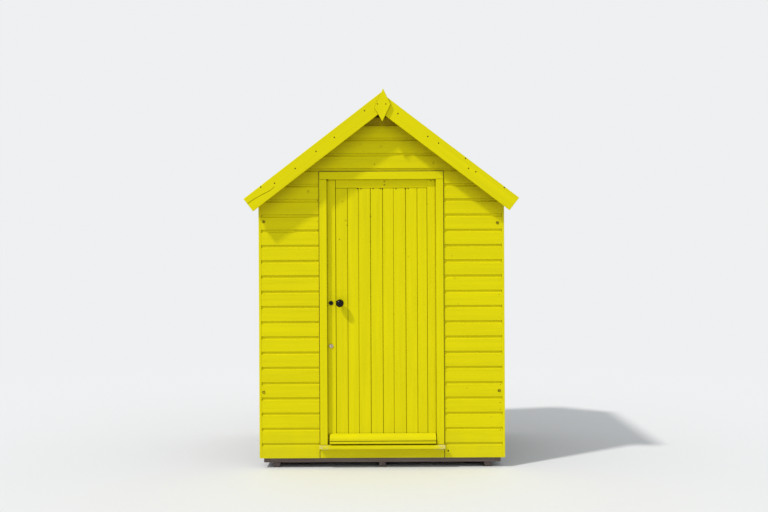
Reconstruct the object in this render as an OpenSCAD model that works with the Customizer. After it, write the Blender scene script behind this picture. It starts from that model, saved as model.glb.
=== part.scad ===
// Timber beach hut: boarded gable walls on a framed floor, felted roof with bargeboards
// and a diamond finial, and one framed, ledged and braced door that opens inwards.
// Millimetres. The origin is on the ground under the middle of the plan, +Z is up,
// the door is in the wall at -Y, and +X is to the right for someone who faces it.

/* [Overall] */
// Width over the corner strips
hut_w = 1830; // [1700:10:2400]
// Depth over the front and back cladding
hut_d = 1620; // [1400:10:3000]
// How far the roof's underside at the corner strips lies below the top of the door's frame
eave_drop = 166; // [100:1:250]
// Pitch of the roof in degrees
pitch = 37.5; // [35:0.5:42]

/* [Base] */
// Height of the ground bearers
bearer_h = 39; // [25:1:75]
// Width of a ground bearer
bearer_w = 50; // [40:1:100]
// Distance from the middle of the hut to the middle of an outer bearer
bearer_x = 790; // [600:5:800]
// How far the bearers' ends stand in behind the floor's edge
bearer_setback = 20; // [5:1:30]
// Width of a floor joist
joist_w = 38; // [30:1:50]
// Height of a floor joist
joist_h = 45; // [38:1:100]
// Number of bays between the floor joists
joist_bays = 4; // [3:1:8]
// How far the floor's edge stands in from the face of the cladding
floor_inset = 28; // [20:1:34]
// Thickness of the floorboards
floor_t = 16; // [12:1:25]

/* [Walls] */
// Thickness of the cladding
clad_t = 16; // [12:1:20]
// Height of the cladding's lower edge above the ground
clad_base = 75; // [60:1:84]
// Width of a stud, plate or rail on its narrow side
stud_w = 38; // [34:1:50]
// Depth of the wall frame, from the cladding to the room
stud_d = 50; // [45:1:75]
// Number of bays between the studs of a side wall
side_bays = 3; // [2:1:6]
// Number of bays between the studs of the back wall
back_bays = 3; // [3:2:5]
// Thickness of a corner strip, as seen from the front
strip_w = 18; // [18:1:30]
// Depth of a corner strip, as seen from the side
strip_d = 45; // [30:1:70]
// How far a corner strip stands out past the cladding
strip_proud = 2; // [1:1:5]

/* [Roof] */
// Thickness of the roof boards
roof_t = 12; // [12:1:22]
// How far the roof boards run past the wall, measured down the slope
eave_run = 87; // [60:1:150]
// How far the roof boards run past the front cladding
verge_front = 105; // [60:1:200]
// How far the roof boards run past the back cladding
verge_back = 70; // [45:1:200]
// Thickness of the felt with its laps
felt_t = 3; // [3:0.5:6]
// How far the felt is turned down at the eaves, below the underside of the boards
felt_drip = 12; // [5:1:30]
// Width of a bargeboard
barge_w = 115; // [95:1:150]
// Thickness of a bargeboard
barge_t = 20; // [16:1:28]
// How far a bargeboard stands up past the felt
barge_proud = 13; // [8:1:18]
// How far a bargeboard runs past the end of the roof boards
barge_run = 14; // [8:1:40]
// Width of a ridge cap board
cap_w = 150; // [100:1:200]
// Thickness of a ridge cap board
cap_t = 16; // [12:1:20]
// Height of the ridge beam
ridge_h = 89; // [70:1:120]
// Square size of the battens behind the bargeboards
batten = 38; // [30:1:42]

/* [Finial] */
// Width of the diamond across its side corners
finial_w = 116; // [100:1:160]
// Height of the diamond
finial_h = 243; // [200:1:280]
// Thickness of the diamond
finial_t = 22; // [16:1:28]
// How far its tip rises over the point of the bargeboards
finial_rise = 28; // [15:1:60]
// How far it leans to the right, in degrees
finial_lean = 1.4; // [0:0.1:4]
// How far below its middle the two side corners were cut
finial_low = 8; // [0:1:20]
// How much higher than that the right corner came out, and how much lower the left one
finial_skew = 14; // [0:1:20]
// How far it is set to the right of the ridge
finial_x = 13; // [0:1:20]

/* [Door frame] */
// Width of the jamb's face
jamb_w = 55; // [45:1:75]
// Height of the head's face
head_h = 57; // [45:1:75]
// How far the frame stands out past the cladding
frame_proud = 10; // [6:1:16]
// How far the door's face lies behind the face of the frame
leaf_set = 30; // [25:1:32]
// How far the frame's stop laps over the edge of the door
stop_lap = 12; // [10:1:15]
// Thickness of the sill under the door
sill_t = 38; // [34:1:50]
// How far the sill's nose stands out past the frame
sill_nose = 45; // [30:1:70]
// How much the sill's top falls to the nose
sill_fall = 10; // [5:1:14]
// Height of the sill's nose
nose_h = 18; // [14:1:18]
// How far the nose runs past the frame at each end
sill_horn = 5; // [2:1:20]

/* [Door] */
// Width of the door leaf
leaf_w = 838; // [762:1:850]
// Height of the door leaf
leaf_h = 1981; // [1900:1:2000]
// Thickness of the door leaf
leaf_t = 44; // [40:1:50]
// Running gap beside and over the leaf
leaf_gap = 7; // [6:0.5:9]
// Running gap under the leaf
foot_gap = 6; // [5:0.5:9]
// Gap between the leaf and the frame's stop
stop_gap = 5; // [5:0.5:8]
// Width of a stile
stile_w = 76; // [65:1:100]
// Height of the top rail
top_rail_h = 75; // [65:1:110]
// Height of the lock rail
lock_rail_h = 145; // [120:1:180]
// Height of the bottom rail
bottom_rail_h = 175; // [140:1:220]
// Thickness of the vertical boards
board_t = 14; // [12:1:18]
// How far the boards lie behind the face of the stiles
board_set = 2; // [1:0.5:4]
// Width of a brace
brace_w = 75; // [60:1:100]
// Height of the weatherboard
weather_h = 69; // [60:1:85]
// How far the weatherboard stands out from the door
weather_out = 45; // [35:1:55]
// Height of the weatherboard's nose
weather_nose = 34; // [28:1:40]
// Height of the bead along the foot of the nose
weather_bead = 13; // [10:1:20]
// Height of the weatherboard above the foot of the leaf
weather_lift = 6; // [2:1:20]
// Gap between the weatherboard and the jamb on the lock side
weather_lock_gap = 16; // [14:1:30]
// Gap between the weatherboard and the jamb on the hinge side
weather_hinge_gap = 6; // [5:1:20]

/* [Door furniture] */
// Height of the knob and the keyhole above the foot of the leaf
knob_z = 1047; // [900:1:1100]
// Distance of the knob's axis from the leaf's edge
knob_backset = 108; // [100:1:120]
// Distance of the keyhole and of the cylinder from the leaf's edge
key_backset = 41; // [38:1:55]
// Diameter of the knob
knob_d = 60; // [40:1:65]
// Distance from the door to the middle of the knob
knob_reach = 45; // [40:1:60]
// Diameter of the knob's neck
neck_d = 16; // [14:1:22]
// Diameter of the spindle
spindle_d = 10; // [8:1:12]
// Diameter of the rose round the knob's neck
rose_d = 44; // [36:1:50]
// Thickness of the rose and of the keyhole plate
rose_t = 4; // [2:0.5:6]
// Diameter of the keyhole plate
key_plate_d = 32; // [24:1:40]
// Height of the cylinder lock above the foot of the leaf
cylinder_z = 726; // [600:1:850]
// Diameter of the cylinder's ring
cylinder_d = 30; // [26:1:36]
// Width of the rim lock's case
case_w = 150; // [140:1:170]
// Height of the rim lock's case
case_h = 100; // [80:1:120]
// Thickness of the rim lock's case
case_t = 25; // [20:1:30]
// Height of the latch case behind the cylinder
latch_h = 64; // [50:1:80]

/* [Hinges] */
// Height of a butt hinge
hinge_h = 100; // [75:1:120]
// Height of the lowest hinge's middle above the foot of the leaf
hinge_low = 250; // [180:1:350]
// Distance of the highest hinge's middle from the top of the leaf
hinge_high = 175; // [120:1:300]
// Thickness of a hinge plate
plate_t = 2.5; // [2:0.1:3]
// Width of a hinge plate
plate_w = 32; // [25:1:36]
// Diameter of the hinge's barrel
barrel_d = 12; // [10:0.5:13]
// Diameter of the hinge pin
pin_d = 6; // [5:0.5:7]
// Distance of the hinge pin from the inner face of the leaf
pin_out = 7; // [7:0.5:10]

/* [Hidden] */

// Clearance of a turning pin or neck in its hole, on the radius
pin_clear = 0.2;
neck_clear = 0.5;
// Gap between the knuckles of a hinge
knuckle_gap = 0.4;
// Gap between two pieces that would meet at the ridge
ridge_cut = 2;
// Clearance between the walls and the roof boards, which rest on the purlins
roof_seat = 0.05;

// Colours
paint = "#e2d405";
bare = "#8d8577";
inside = "#c9a878";
felt = "#b9b8a6";
black = "#1c1c1e";
steel = "#a9a7a3";

// Wall planes, as distances from the middle of the hut
half_w = hut_w / 2;
half_d = hut_d / 2;
side_face = half_w - strip_proud;
side_back = side_face - clad_t;
side_room = side_back - stud_d;
end_back = half_d - clad_t;
end_room = end_back - stud_d;

// Heights of the base, from the ground up
joist_z = bearer_h;
floor_z = joist_z + joist_h;
plate_z = floor_z + floor_t;
sill_z = plate_z + stud_w;

// Plan of the floor
floor_x = side_face - floor_inset;
floor_y = half_d - floor_inset;

// Door frame
frame_y = -half_d - frame_proud;
leaf_y = frame_y + leaf_set;
leaf_back = leaf_y + leaf_t;
stop_y = leaf_y - stop_gap;
half_leaf = leaf_w / 2;
opening_x = half_leaf - stop_lap;
rebate_x = half_leaf + leaf_gap;
frame_x = opening_x + jamb_w;
leaf_z = sill_z + sill_t + foot_gap;
leaf_top = leaf_z + leaf_h;
head_z = leaf_top - stop_lap;
rebate_z = leaf_top + leaf_gap;
head_top = head_z + head_h;

// Roof: heights of its underside, and distances down the slope from the ridge
apex_z = head_top - eave_drop + half_w * tan(pitch);
rafter_drop = stud_d / cos(pitch);
roof_end = half_w / cos(pitch) + eave_run;
barge_end = roof_end + barge_run;
felt_n = roof_t + felt_t;
barge_top = felt_n + barge_proud;
barge_foot = barge_top - barge_w;
purlin_s = half_w / cos(pitch) / 2;
verge_y0 = -half_d - verge_front;
verge_y1 = half_d + verge_back;

// Door leaf
panel_x = half_leaf - stile_w;
board_y = leaf_y + board_set;
rail_y = board_y + board_t;
panel_top = leaf_top - top_rail_h;
knob_h = leaf_z + knob_z;
knob_x = -half_leaf + knob_backset;
key_x = -half_leaf + key_backset;
key_hole_d = 9;
cylinder_h = leaf_z + cylinder_z;
lock_rail_z = knob_h - lock_rail_h / 2;
bottom_rail_top = leaf_z + bottom_rail_h;
pin_x = half_leaf + leaf_gap / 2;
pin_y = leaf_back + pin_out;
hinge_z = [leaf_z + hinge_low,
    (2 * leaf_z + leaf_h + hinge_low - hinge_high) / 2,
    leaf_top - hinge_high];

// Height to which the walls reach under the roof, at a place across the hut
function under_roof(x) = apex_z - roof_seat - abs(x) * tan(pitch);

// Place across the hut where the walls reach a height
function roof_x(z) = (under_roof(0) - z) / tan(pitch);

// An outline in the plane of the gable, drawn in x and z, made solid from y0 to y1
module along_y(y0, y1) {
    translate([0, y1, 0]) rotate([90, 0, 0]) linear_extrude(y1 - y0) children();
}

// An outline across a sill or head, drawn in y and z, made solid from x0 to x1
module along_x(x0, x1) {
    translate([x0, 0, 0]) rotate([90, 0, 90]) linear_extrude(x1 - x0) children();
}

// An outline of the right roof slope, drawn down the slope and out from its underside
module on_slope() {
    translate([0, apex_z]) rotate(-pitch) children();
}

// A board on the right slope from the ridge to s1, between two heights over the underside,
// cut upright where it meets its twin
module slope_board(n0, n1, s1, cut = 0) {
    on_slope() polygon([[(cut - n0 * sin(pitch)) / cos(pitch), n0],
        [(cut - n1 * sin(pitch)) / cos(pitch), n1], [s1, n1], [s1, n0]]);
}

// The same piece on the left of the hut as on the right
module on_left() {
    mirror([1, 0, 0]) children();
}

module on_both_sides() {
    children();
    on_left() children();
}

// The same piece in the back wall as in the front wall
module at_both_ends() {
    children();
    mirror([0, 1, 0]) children();
}

module box(x, y, z) {
    translate([x[0], y[0], z[0]]) cube([x[1] - x[0], y[1] - y[0], z[1] - z[0]]);
}

// Three runners on the ground carry the joists
module ground_bearers() {
    bearer_y = floor_y - bearer_setback;
    color(bare) for (x = [-bearer_x, 0, bearer_x])
        box([x - bearer_w / 2, x + bearer_w / 2], [-bearer_y, bearer_y], [0, bearer_h]);
}

module floor_side_rims() {
    color(bare) on_both_sides()
        box([floor_x - joist_w, floor_x], [-floor_y, floor_y], [joist_z, floor_z]);
}

module floor_joists() {
    pitch_y = (2 * floor_y - joist_w) / joist_bays;
    end_x = floor_x - joist_w;
    color(bare) for (i = [0:joist_bays])
        translate([0, i * pitch_y - floor_y, 0])
            box([-end_x, end_x], [0, joist_w], [joist_z, floor_z]);
}

module floor_boards() {
    color(inside) box([-floor_x, floor_x], [-floor_y, floor_y], [floor_z, plate_z]);
}

// The plate under the front wall runs through under the door's sill
module end_bottom_plates() {
    color(inside) at_both_ends()
        box([-side_back, side_back], [-end_back, -end_room], [plate_z, sill_z]);
}

module side_bottom_plates() {
    color(inside) on_both_sides()
        box([side_room, side_back], [-end_room, end_room], [plate_z, sill_z]);
}

// A corner stud of a gable wall, cut to the rafter over it
module corner_stud() {
    x0 = side_back - stud_w;
    along_y(-end_back, -end_room)
        polygon([[x0, sill_z], [side_back, sill_z],
            [side_back, under_roof(side_back) - rafter_drop],
            [x0, under_roof(x0) - rafter_drop]]);
}

// The door hangs between two studs
module front_studs() {
    color(inside) on_both_sides() {
        corner_stud();
        box([frame_x, frame_x + stud_w], [-end_back, -end_room], [sill_z, head_top]);
    }
}

module back_studs() {
    bay = (2 * side_back - stud_w) / back_bays;
    color(inside) mirror([0, 1, 0]) {
        on_both_sides() corner_stud();
        for (i = [1:back_bays - 1]) translate([i * bay - side_back, 0, 0])
            box([0, stud_w], [-end_back, -end_room], [sill_z, head_top]);
    }
}

module side_studs() {
    bay = (2 * end_room - stud_w) / side_bays;
    top = under_roof(side_back) - stud_w;
    color(inside) on_both_sides() for (i = [0:side_bays])
        translate([0, i * bay - end_room, 0])
            box([side_room, side_back], [0, stud_w], [sill_z, top]);
}

// The plates over the side walls are planed to the slope of the roof
module eaves_plates() {
    foot = under_roof(side_back) - stud_w;
    color(inside) on_both_sides() along_y(-end_room, end_room)
        polygon([[side_room, foot], [side_back, foot],
            [side_back, under_roof(side_back)], [side_room, under_roof(side_room)]]);
}

// Across each gable over the door's head, with its ends cut to the rafters
module gable_head_rails() {
    low_x = roof_x(head_top + rafter_drop);
    high_x = low_x - stud_w / tan(pitch);
    color(inside) at_both_ends() along_y(-end_back, -end_room)
        polygon([[-low_x, head_top], [low_x, head_top],
            [high_x, head_top + stud_w], [-high_x, head_top + stud_w]]);
}

// Outline of an upright under the ridge, with its top planed to both slopes
module ridge_outline(foot) {
    polygon([[-stud_w / 2, foot], [stud_w / 2, foot], [stud_w / 2, under_roof(stud_w / 2)],
        [0, under_roof(0)], [-stud_w / 2, under_roof(stud_w / 2)]]);
}

module gable_king_posts() {
    color(inside) at_both_ends() along_y(-end_back, -end_room)
        ridge_outline(head_top + stud_w);
}

module gable_rafters() {
    x0 = stud_w / 2;
    color(inside) at_both_ends() on_both_sides() along_y(-end_back, -end_room)
        polygon([[x0, under_roof(x0)], [side_back, under_roof(side_back)],
            [side_back, under_roof(side_back) - rafter_drop],
            [x0, under_roof(x0) - rafter_drop]]);
}

// Front wall beside the door, up to the level of the head
module front_cladding_side() {
    color(paint) along_y(-half_d, -end_back)
        polygon([[frame_x, clad_base], [side_back, clad_base],
            [side_back, under_roof(side_back)],
            [roof_x(head_top), head_top], [frame_x, head_top]]);
}

module front_cladding_right() {
    front_cladding_side();
}

module front_cladding_left() {
    on_left() front_cladding_side();
}

module front_cladding_gable() {
    x = roof_x(head_top);
    color(paint) along_y(-half_d, -end_back)
        polygon([[-x, head_top], [x, head_top], [0, under_roof(0)]]);
}

module apron_board() {
    color(paint) box([-frame_x, frame_x], [-half_d, -end_back], [clad_base, sill_z]);
}

// Side wall between its two corner strips
module side_cladding() {
    y = half_d + strip_proud - strip_d;
    color(bare) along_y(-y, y)
        polygon([[side_back, clad_base], [side_face, clad_base],
            [side_face, under_roof(side_face)], [side_back, under_roof(side_back)]]);
}

module right_cladding() {
    side_cladding();
}

module left_cladding() {
    on_left() side_cladding();
}

module back_cladding() {
    color(bare) along_y(end_back, half_d)
        polygon([[-side_back, clad_base], [side_back, clad_base],
            [side_back, under_roof(side_back)], [0, under_roof(0)],
            [-side_back, under_roof(side_back)]]);
}

// Strips on the four corner posts cover the ends of all the boards
module corner_strips() {
    y0 = -half_d - strip_proud;
    x0 = half_w - strip_w;
    color(paint) at_both_ends() on_both_sides() along_y(y0, y0 + strip_d)
        polygon([[x0, clad_base], [half_w, clad_base],
            [half_w, under_roof(half_w)], [x0, under_roof(x0)]]);
}

// The beam butts against the two king posts
module ridge_beam() {
    color(inside) along_y(-end_room, end_room)
        ridge_outline(under_roof(stud_w / 2) - ridge_h);
}

module purlins() {
    color(inside) on_both_sides() along_y(-end_room, end_room) on_slope()
        translate([purlin_s - stud_w / 2, -stud_d]) square([stud_w, stud_d]);
}

module verge_battens() {
    color(bare) on_both_sides() {
        along_y(verge_y0, verge_y0 + batten) slope_board(-batten, 0, roof_end, ridge_cut);
        along_y(verge_y1 - batten, verge_y1) slope_board(-batten, 0, roof_end, ridge_cut);
    }
}

module roof_boards_right() {
    color(inside) along_y(verge_y0, verge_y1) slope_board(0, roof_t, roof_end);
}

module roof_boards_left() {
    on_left() roof_boards_right();
}

// The felt is turned down over the ends of the boards at the eaves
module roof_felt_right() {
    end = roof_end + felt_t;
    color(felt) along_y(verge_y0, verge_y1) on_slope()
        polygon([[-roof_t * tan(pitch), roof_t], [-felt_n * tan(pitch), felt_n],
            [end, felt_n], [end, -felt_drip], [roof_end, -felt_drip], [roof_end, roof_t]]);
}

module roof_felt_left() {
    on_left() roof_felt_right();
}

module ridge_cap_right() {
    color(paint) along_y(verge_y0, verge_y1) slope_board(felt_n, felt_n + cap_t, cap_w);
}

module ridge_cap_left() {
    on_left() ridge_cap_right();
}

// Square at the eaves and mitred under the finial
module bargeboard(y0) {
    color(paint) along_y(y0, y0 + barge_t) slope_board(barge_foot, barge_top, barge_end);
}

module bargeboard_front_right() {
    bargeboard(verge_y0 - barge_t);
}

module bargeboard_front_left() {
    on_left() bargeboard_front_right();
}

module bargeboard_back_right() {
    bargeboard(verge_y1);
}

module bargeboard_back_left() {
    on_left() bargeboard_back_right();
}

// A hand-cut diamond over the mitre
module finial() {
    front = verge_y0 - barge_t;
    middle_z = apex_z + barge_top / cos(pitch) + finial_rise - finial_h / 2;
    color(paint) along_y(front - finial_t, front)
        translate([finial_x, middle_z]) rotate(-finial_lean)
            polygon([[0, finial_h / 2], [finial_w / 2, finial_skew - finial_low],
                [0, -finial_h / 2], [-finial_w / 2, -finial_skew - finial_low]]);
}

// Section of the sill: level under the door, weathered in front of it, with a drip
module sill_outline() {
    nose_y = frame_y - sill_nose;
    top = sill_z + sill_t;
    nose_top = top - sill_fall;
    drip = 5;
    polygon([[leaf_back, sill_z], [leaf_back, top], [leaf_y, top], [nose_y, nose_top],
        [nose_y, nose_top - nose_h], [nose_y + 2 * drip, nose_top - nose_h],
        [nose_y + 2 * drip, nose_top - nose_h + drip],
        [nose_y + 3 * drip, nose_top - nose_h + drip],
        [nose_y + 3 * drip, nose_top - nose_h], [frame_y, nose_top - nose_h],
        [frame_y, sill_z]]);
}

module door_sill() {
    horn_x = frame_x + sill_horn;
    color(paint) {
        along_x(-frame_x, frame_x) sill_outline();
        intersection() {
            along_x(-horn_x, horn_x) sill_outline();
            box([-horn_x, horn_x], [frame_y - sill_nose, -half_d], [sill_z, leaf_z]);
        }
    }
}

// Rebated jamb: its foot is scribed to the sill, and its stop laps over the door's edge
module door_jamb_right() {
    color(paint) difference() {
        union() {
            box([opening_x, frame_x], [frame_y, stop_y], [sill_z, head_z]);
            box([rebate_x, frame_x], [stop_y, leaf_back], [sill_z, rebate_z]);
        }
        along_x(opening_x - 1, frame_x + 1) polygon([[frame_y - sill_nose, sill_z - 1],
            [frame_y - sill_nose, sill_z + sill_t - sill_fall], [leaf_y, sill_z + sill_t],
            [leaf_back + 1, sill_z + sill_t], [leaf_back + 1, sill_z - 1]]);
    }
}

module door_jamb_left() {
    on_left() door_jamb_right();
}

module door_head() {
    color(paint) along_x(-frame_x, frame_x)
        polygon([[frame_y, head_z], [stop_y, head_z], [stop_y, rebate_z],
            [leaf_back, rebate_z], [leaf_back, head_top], [frame_y, head_top]]);
}

// A hole through the door from its outer face to the room
module hole_through(x, z, d) {
    translate([x, leaf_y - 1, z]) rotate([-90, 0, 0])
        cylinder(d = d, h = leaf_t + case_t + 2, $fn = 48);
}

module door_stiles() {
    color(paint) difference() {
        on_both_sides() box([panel_x, half_leaf], [leaf_y, leaf_back], [leaf_z, leaf_top]);
        hole_through(key_x, knob_h, key_hole_d);
        hole_through(key_x, cylinder_h, cylinder_d - 6);
    }
}

// The top rail is as thick as the stiles, and the boards run over the two others
module door_rails() {
    color(paint) difference() {
        union() {
            box([-panel_x, panel_x], [leaf_y, leaf_back], [panel_top, leaf_top]);
            box([-panel_x, panel_x], [rail_y, leaf_back],
                [lock_rail_z, lock_rail_z + lock_rail_h]);
            box([-panel_x, panel_x], [rail_y, leaf_back], [leaf_z, bottom_rail_top]);
        }
        hole_through(knob_x, knob_h, spindle_d + 2 * neck_clear);
    }
}

// A brace rises from the hinge side to the lock side of its panel
module brace(z0, z1) {
    angle = atan2(z1 - z0, -2 * panel_x);
    along_y(rail_y, leaf_back) intersection() {
        translate([-panel_x, z0]) square([2 * panel_x, z1 - z0]);
        translate([panel_x, z0]) rotate(angle)
            translate([-brace_w, -brace_w / 2]) square([leaf_h, brace_w]);
    }
}

module door_braces() {
    color(paint) {
        brace(bottom_rail_top, lock_rail_z);
        brace(lock_rail_z + lock_rail_h, panel_top);
    }
}

module door_boards() {
    color(paint) difference() {
        box([-panel_x, panel_x], [board_y, rail_y], [leaf_z, panel_top]);
        hole_through(knob_x, knob_h, spindle_d + 2 * neck_clear);
    }
}

// The board over the sill has a hollowed top, a bead along its nose and a drip
module door_weatherboard() {
    z0 = leaf_z + weather_lift;
    nose = leaf_y - weather_out;
    rise = weather_h - weather_nose;
    quirk_z = z0 + weather_bead;
    quirk = 4;
    steps = 8;
    groove = 5;
    hollow = [for (i = [0:steps]) let (a = 90 * i / steps)
        [nose + weather_out * 0.12 + weather_out * 0.88 * (1 - cos(a)),
            z0 + weather_nose + rise * 0.25 * (1 - cos(a)) + rise * 0.75 * i / steps]];
    color(paint) along_x(-opening_x + weather_lock_gap, opening_x - weather_hinge_gap)
        polygon(concat([[leaf_y, z0], [nose + 3 * groove, z0],
            [nose + 3 * groove, z0 + groove], [nose + 2 * groove, z0 + groove],
            [nose + 2 * groove, z0], [nose, z0], [nose, quirk_z], [nose + quirk, quirk_z],
            [nose + quirk, quirk_z + quirk], [nose, quirk_z + quirk],
            [nose, z0 + weather_nose - 3]], hollow));
}

// One part of the hinge's barrel, between two heights from the hinge's middle
module knuckle(z0, z1) {
    translate([pin_x, pin_y, z0]) cylinder(d = barrel_d, h = z1 - z0, $fn = 48);
}

// A plate in the gap at the edge of the leaf, x0 to x0 + plate_t
module hinge_plate(x0) {
    box([x0, x0 + plate_t], [leaf_back - plate_w, leaf_back], [-hinge_h / 2, hinge_h / 2]);
}

// The tongue that joins a plate to its knuckle
module hinge_tongue(x0, z0, z1) {
    box([x0, x0 + plate_t], [leaf_back - 1, pin_y], [z0, z1]);
}

// The leaf's half of each hinge turns on the pin with its middle knuckle
module door_hinge_plates() {
    third = hinge_h / 6 - knuckle_gap / 2;
    color(paint) for (z = hinge_z) translate([0, 0, z]) difference() {
        union() {
            hinge_plate(half_leaf);
            hinge_tongue(half_leaf, -third, third);
            knuckle(-third, third);
        }
        translate([pin_x, pin_y, -hinge_h])
            cylinder(d = pin_d + 2 * pin_clear, h = 2 * hinge_h, $fn = 48);
    }
}

// The frame's half has the outer knuckles and holds the pin
module frame_hinge_plates() {
    third = hinge_h / 6 + knuckle_gap / 2;
    x0 = rebate_x - plate_t;
    color(paint) for (z = hinge_z) translate([0, 0, z]) {
        hinge_plate(x0);
        for (side = [-1, 1]) {
            z0 = side > 0 ? third : -hinge_h / 2;
            z1 = side > 0 ? hinge_h / 2 : -third;
            hinge_tongue(x0, z0, z1);
            knuckle(z0, z1);
        }
        translate([pin_x, pin_y, -hinge_h / 2]) cylinder(d = pin_d, h = hinge_h, $fn = 48);
    }
}

// Rim lock behind the knob and keyhole, and the latch behind the cylinder
module lock_cases() {
    edge = 1;
    turn_d = 24;
    color(black) {
        difference() {
            box([edge - half_leaf, case_w - half_leaf], [leaf_back, leaf_back + case_t],
                [knob_h - case_h / 2, knob_h + case_h / 2]);
            hole_through(knob_x, knob_h, spindle_d + 2 * neck_clear);
            hole_through(key_x, knob_h, key_hole_d);
        }
        box([edge - half_leaf, stile_w - half_leaf], [leaf_back, leaf_back + case_t],
            [cylinder_h - latch_h / 2, cylinder_h + latch_h / 2]);
        translate([key_x, leaf_back + case_t, cylinder_h]) rotate([-90, 0, 0])
            cylinder(d = turn_d, h = 14, $fn = 48);
    }
}

// A hollow keep on the jamb, open to the lock
module keep(z, h) {
    wall = 3;
    x0 = -rebate_x - stile_w / 3;
    difference() {
        box([x0, -rebate_x], [leaf_back, leaf_back + case_t], [z - h / 2, z + h / 2]);
        box([x0 + wall, -rebate_x + 1], [leaf_back - 1, leaf_back + case_t - wall],
            [z - h / 2 + wall, z + h / 2 - wall]);
    }
}

module lock_keeps() {
    color(black) {
        keep(knob_h, case_h);
        keep(cylinder_h, latch_h);
    }
}

// A round plate on the face of the door, made outwards from y
module face_disc(x, y, z, d, t) {
    translate([x, y, z]) rotate([90, 0, 0]) cylinder(d = d, h = t, $fn = 64);
}

// The knob's rose, the keyhole plate, and the ring and plug of the cylinder
module lock_plates() {
    ring = 6;
    color(black) difference() {
        face_disc(knob_x, board_y, knob_h, rose_d, rose_t);
        hole_through(knob_x, knob_h, neck_d + 2 * neck_clear);
        face_disc(knob_x, board_y + 1, knob_h, neck_d + 2 * neck_clear, rose_t + 2);
    }
    color(black) difference() {
        face_disc(key_x, leaf_y, knob_h, key_plate_d, rose_t);
        face_disc(key_x, leaf_y + 1, knob_h, key_hole_d, rose_t + 2);
        box([key_x - 2, key_x + 2], [leaf_y - rose_t - 1, leaf_y + 1],
            [knob_h - key_hole_d, knob_h]);
    }
    color(steel) difference() {
        face_disc(key_x, leaf_y, cylinder_h, cylinder_d, ring);
        face_disc(key_x, leaf_y - ring + 2, cylinder_h, cylinder_d - 2 * ring, ring);
    }
}

// One end of the knob: neck, collar and ball, made along z from the door's face
module knob_end() {
    rotate_extrude($fn = 64) intersection() {
        union() {
            translate([0, knob_reach]) circle(d = knob_d, $fn = 64);
            square([neck_d / 2, knob_reach]);
            translate([0, rose_t + 1]) square([neck_d / 2 + 3, 5]);
        }
        square([knob_d, knob_reach + knob_d]);
    }
}

// A knob on each side of the door, on one spindle
module door_knob() {
    outer = board_y - 0.5;
    inner = leaf_back + case_t + 0.5;
    color(black) translate([knob_x, 0, knob_h]) {
        translate([0, outer, 0]) rotate([90, 0, 0]) knob_end();
        translate([0, inner, 0]) rotate([-90, 0, 0]) knob_end();
        translate([0, outer, 0]) rotate([-90, 0, 0])
            cylinder(d = spindle_d, h = inner - outer, $fn = 48);
    }
}

ground_bearers();
floor_side_rims();
floor_joists();
floor_boards();
end_bottom_plates();
side_bottom_plates();
front_studs();
side_studs();
back_studs();
eaves_plates();
gable_head_rails();
gable_king_posts();
gable_rafters();
front_cladding_left();
front_cladding_right();
front_cladding_gable();
apron_board();
left_cladding();
right_cladding();
back_cladding();
corner_strips();
ridge_beam();
purlins();
verge_battens();
roof_boards_left();
roof_boards_right();
roof_felt_left();
roof_felt_right();
ridge_cap_left();
ridge_cap_right();
bargeboard_front_left();
bargeboard_front_right();
bargeboard_back_left();
bargeboard_back_right();
finial();
door_sill();
door_jamb_left();
door_jamb_right();
door_head();
door_stiles();
door_rails();
door_braces();
door_boards();
door_weatherboard();
door_hinge_plates();
frame_hinge_plates();
lock_cases();
lock_keeps();
lock_plates();
door_knob();
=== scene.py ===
import math
import random

import bmesh
import bpy
from mathutils import Euler, Matrix, Vector


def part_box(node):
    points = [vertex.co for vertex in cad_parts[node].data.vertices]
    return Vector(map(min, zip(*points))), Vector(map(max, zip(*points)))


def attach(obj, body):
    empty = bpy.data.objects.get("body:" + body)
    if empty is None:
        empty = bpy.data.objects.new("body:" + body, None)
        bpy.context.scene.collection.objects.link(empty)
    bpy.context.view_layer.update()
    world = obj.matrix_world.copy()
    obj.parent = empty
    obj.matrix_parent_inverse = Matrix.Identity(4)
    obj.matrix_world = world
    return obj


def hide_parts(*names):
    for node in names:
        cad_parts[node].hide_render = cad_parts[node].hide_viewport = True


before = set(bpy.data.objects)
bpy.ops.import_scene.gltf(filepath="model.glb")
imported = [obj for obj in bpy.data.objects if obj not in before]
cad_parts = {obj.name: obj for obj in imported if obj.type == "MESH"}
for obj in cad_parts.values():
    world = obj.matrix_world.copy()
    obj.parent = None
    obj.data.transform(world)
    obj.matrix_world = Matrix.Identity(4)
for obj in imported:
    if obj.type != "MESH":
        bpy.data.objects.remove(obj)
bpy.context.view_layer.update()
scene = bpy.context.scene

# Viewpoint, light and floor
# The hut is seen from 8 m in front, at eye height and a little left of its middle. The key
# light comes from the left and above, and the floor fades into a pale background.
FRONT_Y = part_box("front_cladding_left")[0].y
VIEW_X, VIEW_DISTANCE, VIEW_Z = -0.048, 8.0, 1.594
VIEW_ROLL = math.radians(0.27)
PHOTO_WIDTH = 768
FOCAL_PIXELS = 1073.6
SHIFT_PIXELS = (9, -2)
SENSOR_WIDTH = 36
KEY_LEFT, KEY_UP, KEY_SPREAD = math.radians(52), math.radians(50), math.radians(4)
KEY_STRENGTH, SKY_STRENGTH = 2.1, 0.66
KEY_COLOUR, SKY_COLOUR = (1.0, 0.985, 0.955), (0.97, 1.0, 1.03, 1)
PALE = (0.86, 0.87, 0.88, 1)
FLOOR_COLOUR = (0.755, 0.76, 0.765, 1)
FLOOR_RADIUS, FADE_START, FADE_END = 40, 2.5, 9.0

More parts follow.
